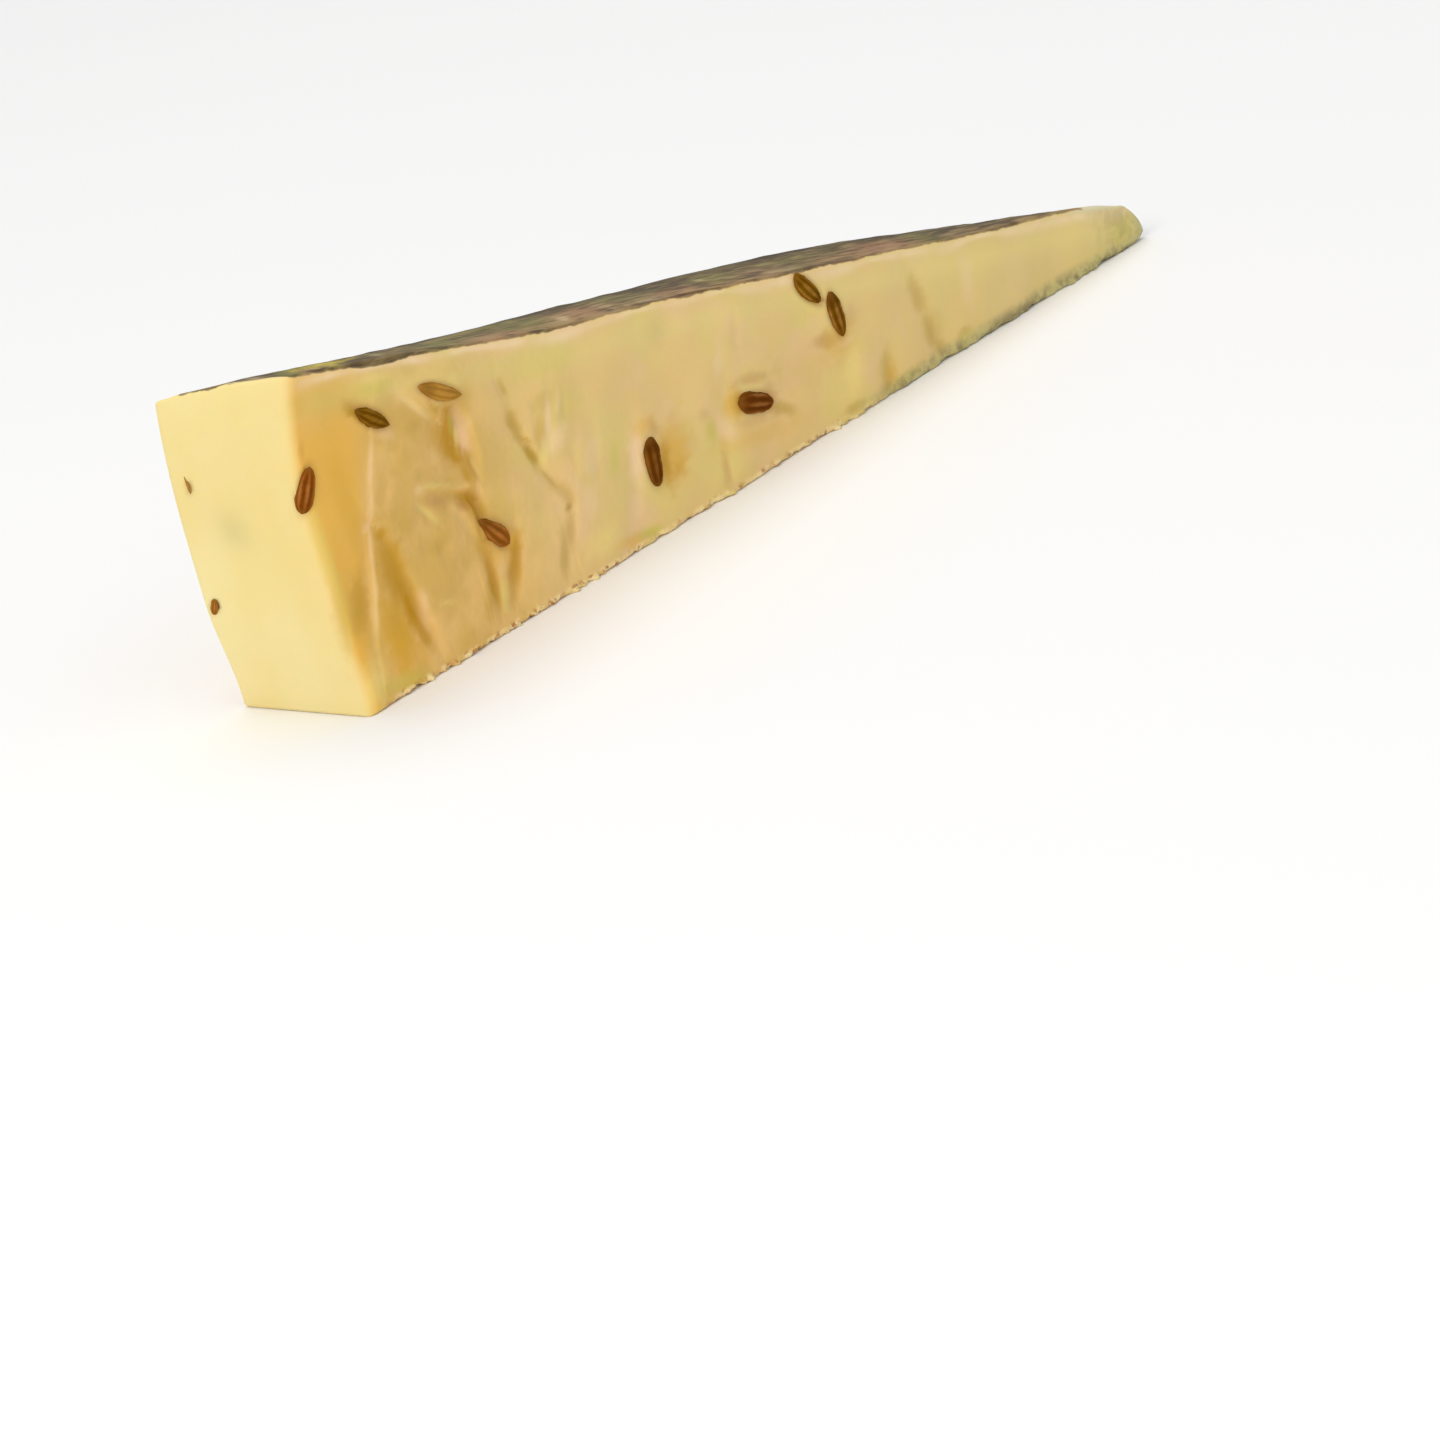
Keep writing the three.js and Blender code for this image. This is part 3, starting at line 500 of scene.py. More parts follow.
def nose_reach(share):
    under = NOSE_REACH - NOSE_UNDERCUT * (1 - share / NOSE_LEVEL) ** 2
    above = np.clip((share - NOSE_LEVEL) / (1 - NOSE_LEVEL), 0, 1)
    return np.where(share < NOSE_LEVEL, under, NOSE_REACH - NOSE_SLOPE * above ** NOSE_CURVE)


def groove_depth(x, z, grooves, share=None):
    """Depth of the grooves, or of a named share of each, at (x, z), by the nearest stretch of the path."""
    total = np.zeros_like(x)
    for one in grooves:
        path = one["path"]
        nearest = np.full_like(x, np.inf)
        side = np.ones_like(x)
        depth = np.zeros_like(x)
        for (ax, az, a_depth), (bx, bz, b_depth) in zip(path, path[1:]):
            dx, dz = bx - ax, bz - az
            along = np.clip(((x - ax) * dx + (z - az) * dz) / (dx * dx + dz * dz), 0, 1)
            distance = np.hypot(x - ax - dx * along, z - az - dz * along)
            closer = distance < nearest
            nearest = np.where(closer, distance, nearest)
            side = np.where(closer, dx * (z - az) - dz * (x - ax), side)
            depth = np.where(closer, mix(a_depth, b_depth, along), depth)
        reach = np.where(side < 0, one["left"], one["right"])
        total += (one[share] if share else 1) * depth * bump(nearest, reach)
    return total


def undulation(x, z, phase):
    bands = wave(x, BAND_LENGTH, BAND_BEND * wave(z, BAND_BEND_HEIGHT, phase) + phase)
    plates = wave(x - PLATE_LEAN * z, PLATE_LENGTH, phase) * wave(z, PLATE_HEIGHT, phase)
    return BAND_WAVE * bands + PLATE_WAVE * plates


def turned_noise(x, z, size, turn, phase):
    """Noise with lumps of the given size, in a frame turned by so many degrees."""
    c, s = cos(radians(turn)), sin(radians(turn))
    return noise((c * x + s * z) / size + phase, (c * z - s * x) / (1.5 * size) + phase)


def torn_grain(x, z, phase):
    """The plates, flakes and fine crumb of a torn face, rougher towards the thick end."""
    def layer(height, size, turn, shift):
        return height * turned_noise(x, z, size, turn, phase + shift)

    flakes = np.abs(layer(*TORN_FLAKES)) + layer(*TORN_SLIVERS)
    flakes *= mix(1, CALM_FLAKES, smooth((x - CALM_START) / CALM_LENGTH))
    return layer(*TORN_PLATES) + flakes + layer(*TORN_CRUMB)


def relief_fade(x, z):
    below_rind = smooth((front_edge(x) - z) / RELIEF_FADE_RIND)
    above_base = mix(RELIEF_AT_BASE, 1, smooth(z / RELIEF_FADE_BASE))
    before_tip = smooth((LENGTH - x) / RELIEF_FADE_TIP)
    return below_rind * above_base * before_tip


def base_crumbs(x, z, phase):
    """The ragged lower edge, with bits broken off and bits hanging on."""
    near_base = smooth(1 - z / CRUMB_HEIGHT) * smooth((x - 1) / 4)
    loose = np.maximum(0, noise(x * 1.9 + phase, z * 1.1 + phase) - 0.25)
    return CRUMB_DEPTH * near_base * (0.6 * noise(x * 0.9 + phase, z * 0.7) - 2.2 * loose)


def edge_notches(x, y, z):
    """How far the bottom rim of the torn faces is nibbled away upwards."""
    near_rim = smooth(1 - y / NOTCH_REACH) + smooth(1 - (thickness_at(x) - y) / NOTCH_REACH)
    bites = np.maximum(0, noise(x * 0.7 + 3, y * 0.1) + 0.5 * noise(x * 2.3, 4.0) - 0.1)
    return NOTCH_HEIGHT * near_rim * bites * smooth(1 - z / 2) * smooth((x - 2) / 6)


def front_relief(x, z):
    from_end = smooth((x - WAVE_START) / WAVE_FADE_END)
    rough = undulation(x, z, FRONT_PHASE) + torn_grain(x, z, 3.0)
    relief = rough * from_end + groove_depth(x, z, FRONT_GROOVES)
    return relief_fade(x, z) * relief + base_crumbs(x, z, 5.0)


def back_relief(x, z):
    from_end = smooth(x / WAVE_FADE_END)
    rough = undulation(x, z, BACK_PHASE) + torn_grain(x, z, 23.0)
    relief = from_end * (rough + groove_depth(x, z, BACK_GROOVES))
    return relief_fade(x, z) * relief + base_crumbs(x, z, 31.0)


def rind_relief(x, y):
    """Low lumps and creases of the rind, drawn out along the wedge."""
    return RIND_LUMPS * noise(x * 0.16 + 7, y * 0.45) + RIND_WRINKLES * noise(x * 0.4, y * 1.6 + 13)


# The mesh


def crowded(count, weight):
    """Values from 0 to 1, closer together where the weight is high."""
    fine = np.linspace(0, 1, 4001)
    density = weight(fine)
    total = np.concatenate([[0], np.cumsum((density[1:] + density[:-1]) / 2)])
    return np.interp(np.linspace(0, total[-1], count + 1), total, fine)


def near_ends(share):
    return 1 + 2.5 * (np.exp(-share / 0.03) + np.exp(-(1 - share) / 0.03))


def column_weight(share):
    x = share * LENGTH
    weight = 1 + 2.4 * smooth((50 - x) / 12) + 1.5 * np.exp(-(LENGTH - x) / 3) + 2 * np.exp(-x / 1.5)
    for one in SEEDS:
        if one["face"] in ("front", "back"):
            weight += 0.7 * bump(x - one["at"][0], 2.4)
    return weight


def rounded_box(point, size):
    """Moves points of a box's surface onto that of the same box with rounded edges."""
    inner = np.clip(point, EDGE_RADIUS, size - EDGE_RADIUS)
    out = point - inner
    reach = np.linalg.norm(out, axis=1, keepdims=True)
    point = inner + out * EDGE_RADIUS / np.maximum(reach, 1e-9)
    # the softer upright corner between the end and the front face
    near = np.clip(CORNER_RADIUS - point[:, :2], 0, None)
    reach = np.linalg.norm(near, axis=1, keepdims=True)
    beyond = (near > 0).all(axis=1, keepdims=True) & (reach > CORNER_RADIUS)
    curved = CORNER_RADIUS - near * CORNER_RADIUS / np.maximum(reach, 1e-9)
    point[:, :2] = np.where(beyond, curved, point[:, :2])
    return point


def wedge_points(long_share, deep_share, high_share):
    """Points of the wedge from their shares of its length, depth and height."""
    x = long_share * LENGTH
    thick = thickness_at(x)
    top = top_surface(x, deep_share)
    size = np.stack([np.full_like(x, LENGTH), thick, top], 1)
    x, y, z = rounded_box(np.stack([x, deep_share * thick, high_share * top], 1), size).T
    deep, high = y / thick, z / top
    front = front_relief(x, z)
    back = thick - back_relief(x, z)
    at_end = 1 - smooth(x / NOSE_START)
    at_tip = smooth((x - LENGTH + NOSE_START) / NOSE_START) ** 3
    return np.stack([
        x - end_bow(z, deep) * at_end + nose_reach(high) * at_tip,
        mix(front, back, deep),
        z + rind_relief(x, y) * smooth((high - 0.9) / 0.1) + edge_notches(x, y, z),
    ], 1)


def box_grid(columns, deep_rows, rows):
    """Shares of the surface points of a box grid, and its quads with their faces pointing out."""
    counts = (len(columns), len(deep_rows), len(rows))
    i, j, k = np.meshgrid(*[np.arange(n) for n in counts], indexing="ij")
    outside = np.zeros(counts, dtype=bool)
    for step, count in ((i, counts[0]), (j, counts[1]), (k, counts[2])):
        outside |= (step == 0) | (step == count - 1)
    ids = np.full(counts, -1)
    ids[outside] = np.arange(outside.sum())
    shares = (columns[i[outside]], deep_rows[j[outside]], rows[k[outside]])

    def quads(sheet, flip):
        corners = [sheet[:-1, :-1], sheet[1:, :-1], sheet[1:, 1:], sheet[:-1, 1:]]
        if flip:
            corners.reverse()
        return np.stack([c.ravel() for c in corners], 1)

    faces = np.concatenate([
        quads(ids[:, 0, :], False), quads(ids[:, -1, :], True),
        quads(ids[:, :, 0], True), quads(ids[:, :, -1], False),
        quads(ids[0, :, :], True), quads(ids[-1, :, :], False),
    ])
    return shares, faces


FACES = {
    "front": ((1, 0, 0), (0, -1, 0)),
    "back": ((-1, 0, 0), (0, 1, 0)),
    "end": ((0, -1, 0), (-1, 0, 0)),
    "corner": ((sin(pi / 4), -sin(pi / 4), 0), (-sin(pi / 4), -sin(pi / 4), 0)),
    "base": ((1, 0, 0), (0, 0, -1)),
}


def surface_point(one, x, y, z):
    """The point of the paste that lies under (x, y, z) on the seed's face."""
    at, height = np.array([float(x)]), np.array([float(z)])
    if one["face"] == "front":
        y = front_relief(at, height)[0]
    elif one["face"] == "back":
        y = (thickness_at(at) - back_relief(at, height))[0]
    elif one["face"] == "end":
        x = -end_bow(height, y / THICKNESS)[0]
    return Vector((x, y, z))


def placed(one):
    """A seed with its middle, its three axes and its half sizes along them; it follows the torn surface."""
    level, outward = (Vector(way) for way in FACES[one["face"]])
    side = level.cross(outward) if one["face"] == "base" else Vector((0, 0, 1))
    turn = radians(one["turn"])
    along = level * cos(turn) + side * sin(turn)
    half = np.array([SEED_LENGTH * one["size"], SEED_WIDTH * one["wide"], SEED_DEPTH]) / 2
    reach = along * half[0] * 0.6
    middle = Vector(one["at"])
    ends = [surface_point(one, *(middle + reach * way)) for way in (-1, 1)]
    along = (ends[1] - ends[0]).normalized()
    across = outward.cross(along).normalized()
    out = along.cross(across)
    middle = (ends[0] + ends[1]) / 2 - out * one["sunk"]
    if one["cut"]:
        half[2] *= CUT_FLATNESS
        proud = 0 if one["face"] == "base" else CUT_PROUD
        middle = surface_point(one, *one["at"]) - out * (half[2] - proud)
    return dict(one, middle=np.array(middle), axes=np.array([along, across, out]), half=half)


def seed_reach(points, one):
    """Distance from a seed within its face, in its own lengths and widths: 1 at its outline."""
    offset = (points - one["middle"]) @ one["axes"].T
    reach = np.hypot(offset[:, 0] / one["half"][0], offset[:, 1] / one["half"][1])
    return np.where(np.abs(offset[:, 2]) > 2.5, 9.0, reach)


def dented(points, seeds):
    """Makes room for the cut seeds and raises a low lip of paste around the others."""
    moved = points.copy()
    for one in seeds:
        reach = seed_reach(points, one)
        if one["cut"]:
            rise = -CUT_SOCKET * (1 - smooth((reach - 0.7) / 0.3))
        else:
            rise = 0.08 * bump(reach - 1.3, 0.3)
        moved += rise[:, None] * one["axes"][2]
    return moved


def seed_shape(one):
    """Points and faces of one ribbed, slightly bent seed, with its paint: ribs, outer edge and dark end."""
    u = np.linspace(-1, 1, SEED_RINGS + 1)[1:-1]
    turn = np.arange(SEED_SIDES) / SEED_SIDES * 2 * pi
    u, turn = np.meshgrid(u, turn, indexing="ij")
    swell = (1 - np.abs(u) ** mix(2, 3, one["blunt"])) ** mix(0.85, 0.5, one["blunt"])
    swell *= (1 - (0.12 + 0.4 * one["heavy"]) * u) / (1 + 0.15 * abs(one["heavy"]))
    ribs = 0.5 + 0.5 * np.cos(SEED_RIBS * turn + 0.4)
    lumps = 0.05 * noise(u * 3 + one["at"][0], turn * 1.3 + one["at"][2])
    lumps += 0.05 * noise(u * 8, turn * 2 + 5)
    radius = swell * (0.88 + 0.12 * ribs + lumps)
    bend = one["bent"] * (u ** 2 - 0.4)
    rings = np.stack([u, radius * np.cos(turn) + bend, radius * np.sin(turn)], 2)
    ends = np.array([[-1.02, 0.6 * one["bent"], 0], [1.04, 0.6 * one["bent"], 0]])
    points = np.concatenate([rings.reshape(-1, 3), ends]) * one["half"]
    rib = np.concatenate([(ribs * np.clip(1.25 - np.abs(u), 0, 1)).ravel(), [0.2, 0.5]])
    edge = np.maximum(smooth(1.1 - 1.3 * np.sin(turn)), smooth((np.abs(u) - 0.6) / 0.4))
    edge = np.concatenate([edge.ravel(), [1, 1]])
    way = -np.sign(one["dark_start"])
    shade = abs(one["dark_start"]) * smooth((way * u - 0.25) / 0.5)
    shade = np.concatenate([shade.ravel(), [0, 0]])
    faces = []
    last = SEED_RINGS - 2
    for ring in range(last):
        for side in range(SEED_SIDES):
            a = ring * SEED_SIDES + side
            b = ring * SEED_SIDES + (side + 1) % SEED_SIDES
            faces.append((a, a + SEED_SIDES, b + SEED_SIDES, b))
    first_end, last_end = len(points) - 2, len(points) - 1
    for side in range(SEED_SIDES):
        beside = (side + 1) % SEED_SIDES
        faces.append((first_end, side, beside))
        faces.append((last_end, last * SEED_SIDES + beside, last * SEED_SIDES + side))
    points = points @ one["axes"] + one["middle"]
    points[:, 2] = np.maximum(points[:, 2], 0)
    return points, faces, {"rib": rib, "edge": edge, "shade": shade}


def add_object(name, data):
    made = bpy.data.objects.new(name, data)
    bpy.context.scene.collection.objects.link(made)
    return made


def new_piece(name, points, faces, values):
    """A smooth-shaded mesh object, with one float attribute for each named array of values."""
    mesh = bpy.data.meshes.new(name)
    mesh.from_pydata((points * MM).tolist(), [], [tuple(int(i) for i in face) for face in faces])
    for title, array in values.items():
        layer = mesh.attributes.new(title, "FLOAT", "POINT")
        layer.data.foreach_set("value", np.ascontiguousarray(array, dtype=np.float32))
    mesh.shade_smooth()
    mesh.update()
    return add_object(name, mesh)


# Paint: where each colour of the paste and the rind lies


def patch_strength(x, y, z, patches):
    """The strongest of some soft, ragged patches of colour, laid on from the front left and above."""
    x, z = x - PATCH_SHIFT_X * y, z + PATCH_SHIFT_Z * y
    total = np.zeros_like(x)
    ragged = 1 + 0.2 * noise(x * 1.1, z * 1.1 + 5) + 0.12 * noise(x * 2.9, z * 2.3)
    for px, pz, along, across, turn, strength in patches:
        c, s = cos(radians(turn)), sin(radians(turn))
        u = (c * (x - px) + s * (z - pz)) / along
        v = (c * (z - pz) - s * (x - px)) / across
        total = np.maximum(total, strength * np.exp(-(np.hypot(u, v) * ragged) ** 3))
    return total


def rind_paint(x, y, z, share):
    """How far a point lies below the top, and how far inside the rind's outline it is, in millimetres."""
    below = top_surface(np.clip(x, 0, LENGTH), share) + rind_relief(x, y) - z
    lap = RIND_LAP + RIND_DIP * bump(x - RIND_DIP_PLACE, RIND_DIP_REACH)
    lap = lap + 0.06 * noise(x * 0.35, 3.0) + 0.04 * noise(x * 1.7, 9.0)
    lap = lap - RIND_TRIM * smooth((0.9 - x - end_bow(z, share)) / 0.5) * smooth((0.55 - share) / 0.25)
    before_end = (RIND_END + RIND_END_SLANT * share - x) / 8
    corner = 1.2 * (x + 1.5) + BARE_CORNER - y - 0.8 * noise(x, y)
    inside = np.minimum(np.minimum(lap - below, before_end), corner / 2)
    return below, np.clip(inside, -1, 1)


def rind_patch(x, y, share, patches):
    """The strongest of some soft patches of the rind, placed by where they are seen over its front edge."""
    seen_x = x - RIND_SEEN_SHIFT * y
    ragged = 1 + 0.35 * noise(seen_x * 0.8, share * 9) + 0.2 * noise(seen_x * 2.3, share * 17)
    total = np.zeros_like(x)
    for px, across, reach_x, reach_across, strength in patches:
        reach = np.hypot((seen_x - px) / reach_x, (share - across) / reach_across)
        total = np.maximum(total, strength * np.exp(-(reach * ragged) ** 3))
    return total


def paint_values(points, seeds):
    x, y, z = points.T
    share = np.clip(y / thickness_at(x), 0, 1)
    below, rind = rind_paint(x, y, z, share)
    # Painted highlight: a thin pale line along the paste just under the rind's edge
    rim_width = RIM_WIDTH + 0.3 * noise(x * 0.14 + 2, 6.0)
    rim_strength = 0.8 + 0.35 * noise(x * 0.31, 21.0)
    rim = bump(below - RIM_GAP - rim_width, rim_width) * smooth(x / 3) * rim_strength
    under = bump(below - UNDER_RIND, UNDER_REACH) * smooth(x / 3)
    on_front = smooth((0.5 - share) / 0.3)

    def lit_slope(grooves, way):
        step = 0.15
        ahead = groove_depth(x + step * way, z, grooves, "lit")
        behind = groove_depth(x - step * way, z, grooves, "lit")
        return (ahead - behind) / (2 * step)

    # Painted light from the lamp on the left: a painted highlight on steep sides that face it, and painted
    # shade in the hollows by their depth, less where such a side is lit
    slope = mix(lit_slope(BACK_GROOVES, -1), lit_slope(FRONT_GROOVES, 1), on_front)
    wall_highlight = smooth((-slope - 0.1) / 0.9)
    hollow_shade_depth = mix(groove_depth(x, z, BACK_GROOVES, "gold_shade"), groove_depth(x, z, FRONT_GROOVES, "gold_shade"),
                     on_front)
    hollow_shade = smooth((hollow_shade_depth - 0.15) / 1.1) * (1 - 0.8 * wall_highlight)

    from_corner = x + end_bow(z, 0)
    on_side = smooth((from_corner + 0.6) / 2.0)
    # The band along the knife cut: its orange is partly painted shade
    ridge_x = np.interp(z, RIDGE_HEIGHTS, RIDGE_PLACES)
    softness = mix(*BAND_SOFTNESS, smooth((z - 20) / 14))
    band = on_front * smooth((from_corner + 0.9) / 2.0) * smooth((ridge_x - 1 - x) / softness + 0.5)
    band *= mix(1, 0.45, smooth((z - 30) / 5))
    # Warmer colour of the torn faces near the thick end, partly painted shade
    torn = on_side * mix(0.1, 1, smooth((TORN_COLOUR_END - x) / 18)) * smooth(below / 3)
    stain = np.zeros_like(x)
    for one in seeds:
        reach = np.maximum(seed_reach(points, one), 0.8)
        stain = np.maximum(stain, (CUT_STAIN if one["cut"] else STAIN) * bump(reach - 0.8, 0.35))
    ghost = np.zeros_like(x)
    for gx, gy, gz, size in GHOSTS:
        distance = np.sqrt((x - gx) ** 2 + (y - gy) ** 2 + (z - gz) ** 2)
        ghost = np.maximum(ghost, GHOST * bump(distance, size))
    # Painted shade: darker and greyer along the base edge from x 90 towards the tip; at the nose, its own
    # drier colour
    base_edge_shade = 0.85 * smooth((2.3 - z) / 1.9) * smooth((x - EDGE_SHADE_START) / 14)
    nose_dry = np.maximum(smooth((x - DRY_NOSE) / 3.2), 0.3 * smooth((x - 143) / 7))
    dry_and_shade = np.maximum(base_edge_shade, nose_dry)
    frost = smooth((x - FROST_START) / 6) * smooth((1.1 - below) / 0.9)
    crumb = smooth((CRUMB_HEIGHT - z) / 0.6) * smooth((x - 2) / 3) * (1 - smooth((x - EDGE_SHADE_START) / 12))
    far = 0.5 * smooth((x - FAR_COLOUR_START) / 60)
    old = 0.7 * smooth((OLD_RIND_END - x) / 26)
    values = dict(rind=rind, across=share, rim=rim, under=under, wall_highlight=wall_highlight, hollow_shade=hollow_shade, band=band,
                  torn=torn, side=on_side, stain=stain, ghost=ghost, dry_and_shade=dry_and_shade, frost=frost, crumb=crumb,
                  far=far, old=old)
    for title, patches in PATCHES.items():
        values[title] = on_front * patch_strength(x, y, z, patches)
    for title, patches in RIND_PATCHES.items():
        values[title] = rind_patch(x, y, share, patches)
    return values


# Shader nodes


class Shader:
    """A material's node tree with short calls for the nodes that this scene uses."""

    def __init__(self, name):
        self.material = bpy.data.materials.new(name)
        self.material.use_nodes = True
        self.tree = self.material.node_tree
        self.bsdf = self.tree.nodes["Principled BSDF"]

    def fill(self, made, inputs):
        """Gives the inputs of a node, by name or number, their values or links."""
        for key, value in inputs.items():
            if isinstance(value, bpy.types.NodeSocket):
                self.tree.links.new(value, made.inputs[key])
            else:
                made.inputs[key].default_value = value

    def node(self, kind, inputs, **settings):
        made = self.tree.nodes.new(kind)
        for key, value in settings.items():
            setattr(made, key, value)
        self.fill(made, inputs)
        return made.outputs

    def value(self, title):
        return self.node("ShaderNodeAttribute", {}, attribute_name=title)["Fac"]

    def place(self, scale=(1, 1, 1), offset=(0, 0, 0)):
        coordinates = self.node("ShaderNodeTexCoord", {})["Object"]
        inputs = {"Vector": coordinates, "Scale": scale, "Location": offset}
        return self.node("ShaderNodeMapping", inputs)["Vector"]

    def noise(self, scale, detail=3, roughness=0.55, vector=None):
        inputs = {"Scale": scale, "Detail": detail, "Roughness": roughness, "Vector": vector or self.place()}
        return self.node("ShaderNodeTexNoise", inputs)["Fac"]

    def spread(self, value, low, high, out_low=0, out_high=1):
        inputs = {"Value": value, "From Min": low, "From Max": high, "To Min": out_low, "To Max": out_high}
        return self.node("ShaderNodeMapRange", inputs)["Result"]

    def math(self, operation, a, b):
        return self.node("ShaderNodeMath", {0: a, 1: b}, operation=operation)["Value"]

    def times(self, a, b):
        return self.math("MULTIPLY", a, b)

    def blend(self, share, a, b):
        """Mixes two colours, each a socket or display values of 0 to 255."""
        a, b = (colour(*tint) if isinstance(tint, tuple) else tint for tint in (a, b))
        return self.node("ShaderNodeMix", {"Factor": share, 6: a, 7: b}, data_type="RGBA")[2]

    def bump(self, height, distance, strength, normal=None):
        inputs = {"Height": height, "Distance": distance, "Strength": strength}
        if normal is not None:
            inputs["Normal"] = normal
        return self.node("ShaderNodeBump", inputs)["Normal"]


def colour(red, green, blue):
    """A shader colour from display values of 0 to 255."""
    def linear(value):
        share = value / 255
        return share / 12.92 if share <= 0.04045 else ((share + 0.055) / 1.055) ** 2.4
    return (linear(red), linear(green), linear(blue), 1.0)


def paste_colour(s):
    """The paste: pale on the cut end, deeper on the torn sides, partly as painted shade; deep yellow near
    the end, partly painted shade, and in the hollows as painted shade; painted highlights on steep sides.
    """
    cut = s.blend(s.spread(s.noise(70, 2), 0.35, 0.7), (240, 224, 162), (237, 216, 143))
    clouds = s.noise(90, 3, 0.5, s.place(offset=(3, 0, 0)))
    blush = s.noise(120, 3, 0.5, s.place(offset=(0, 5, 0)))
    flakes = s.noise(170, 3, 0.5, s.place(offset=(0, 0, 7)))
    # The torn sides: deeper than the cut end, partly painted shade
    side = s.blend(s.spread(clouds, 0.46, 0.62), (233, 201, 132), (229, 206, 126))
    side = s.blend(s.spread(blush, 0.52, 0.7, 0, 0.7), side, (238, 201, 150))
    # warmer near the thick end, partly painted shade
    torn_tint_and_shade = s.blend(s.spread(flakes, 0.42, 0.62), (233, 191, 112), (218, 178, 90))
    side = s.blend(s.value("torn"), side, torn_tint_and_shade)
    side = s.blend(s.value("far"), side, (218, 200, 126))
    side = s.blend(s.times(s.value("under"), 0.5), side, (236, 215, 134))
    # orange of the knife-cut band, partly painted shade
    side = s.blend(s.value("band"), side, (240, 187, 74))
    paste = s.blend(s.value("side"), cut, side)
    # painted shade in the hollows and in the gold, olive, amber and brown patches; painted highlights on
    # steep sides and in the light patches; the rest are the paste's own tones
    for title, share, tint in (
        ("hollow_shade", 0.85, (200, 150, 40)), ("brown", 1, (186, 128, 66)),
        ("olive", 1, (190, 154, 46)), ("amber", 1, (226, 174, 44)),
        ("gold_shade", 1, (200, 150, 14)), ("wall_highlight", 0.5, (246, 214, 160)),
        ("light", 1, (250, 215, 172)), ("yellow", 1, (244, 222, 132)),
        ("green", 1, (206, 194, 78)),
    ):
        paste = s.blend(s.times(s.value(title), share), paste, tint)
    # painted highlight under the rind's edge
    rim = s.times(s.value("rim"), s.spread(s.noise(200, 3), 0.3, 0.7, 0.2, 0.8))
    paste = s.blend(rim, paste, (250, 226, 186))
    crumbs = s.blend(s.spread(s.noise(1100, 2), 0.5, 0.62), (255, 226, 164), (176, 112, 52))
    crumbling = s.times(s.value("crumb"), s.spread(s.noise(600, 2), 0.4, 0.6, 0.1, 1.0))
    paste = s.blend(crumbling, paste, crumbs)
    # darker grey-green: painted shade along the base edge, and the nose's drier colour
    dry_and_shade = s.blend(s.spread(s.noise(700, 3), 0.4, 0.6), (192, 184, 122), (132, 122, 84))
    paste = s.blend(s.value("dry_and_shade"), paste, dry_and_shade)
    paste = s.blend(s.value("frost"), paste, (222, 214, 176))
    paste = s.blend(s.value("stain"), paste, (176, 118, 34))
    return s.blend(s.value("ghost"), paste, (176, 168, 110))


def rind_colour(s):
    """The rind: beige and brown streaks in front, olive grey behind them, and a dark line along the back
    edge, which is painted shade where the rind turns away from the light.
    """
    across = s.value("across")
    streaks = s.noise(260, 4, 0.6, s.place((0.16, 1.0, 1.0)))
    fine = s.noise(760, 3, 0.6, s.place((0.2, 1.0, 1.0)))
    front = s.blend(s.spread(streaks, 0.42, 0.56), (100, 74, 38), (158, 130, 84))
    middle = s.blend(s.spread(streaks, 0.42, 0.56), (128, 116, 62), (88, 70, 38))
    rind = s.blend(s.spread(across, 0.15, 0.5), front, middle)
    rind = s.blend(s.value("old"), rind, (84, 72, 34))
    for title, tint in (
        ("mossy", (118, 118, 52)), ("rosy", (164, 118, 84)), ("dark", (50, 38, 18)),
        ("bright", (214, 190, 140)), ("chip", (226, 202, 74)),
    ):
        share = s.times(s.value(title), s.spread(streaks, 0.3, 0.6, 1.0, 0.6))
        rind = s.blend(share, rind, tint)
    rind = s.blend(s.spread(fine, 0.52, 0.64, 0, 0.75), rind, (66, 46, 24))
    rind = s.blend(s.spread(fine, 0.48, 0.36, 0, 0.4), rind, (178, 152, 106))
    rind = s.blend(s.spread(s.value("rind"), 0.04, 0.2, 0.45, 0), rind, (172, 148, 104))
    # painted shade: darker along the back edge, where the rind turns away
    return s.blend(s.spread(across, 0.86, 0.98, 0, 0.8), rind, (52, 42, 24))


def rind_cover(s):
    """Where the rind lies: its outline is nibbled and frayed."""
    nibbles = s.spread(s.noise(650, 3, 0.6, s.place((0.5, 1, 1))), 0.3, 0.7, -0.12, 0.12)
    return s.spread(s.math("ADD", s.value("rind"), nibbles), -0.06, 0.06)


def cheese_material():
    s = Shader("cheese_paste")
    rind = rind_cover(s)
    grain = s.noise(420, 4, 0.6)
    fine = s.noise(1300, 3, 0.6)
    gloss = s.spread(grain, 0.3, 0.7, 0.42, 0.56)
    s.fill(s.bsdf, {
        "Base Color": s.blend(rind, paste_colour(s), rind_colour(s)),
        "Normal": s.bump(fine, 0.00004, 0.4, s.bump(grain, 0.00008, 0.4)),
        "Roughness": s.math("MAXIMUM", gloss, s.times(rind, 0.7)),
        "Subsurface Weight": 0.3,
        "Subsurface Radius": (1, 0.6, 0.2),
        "Subsurface Scale": 0.0015,
        "Specular IOR Level": 0.35,
    })
    return s.material


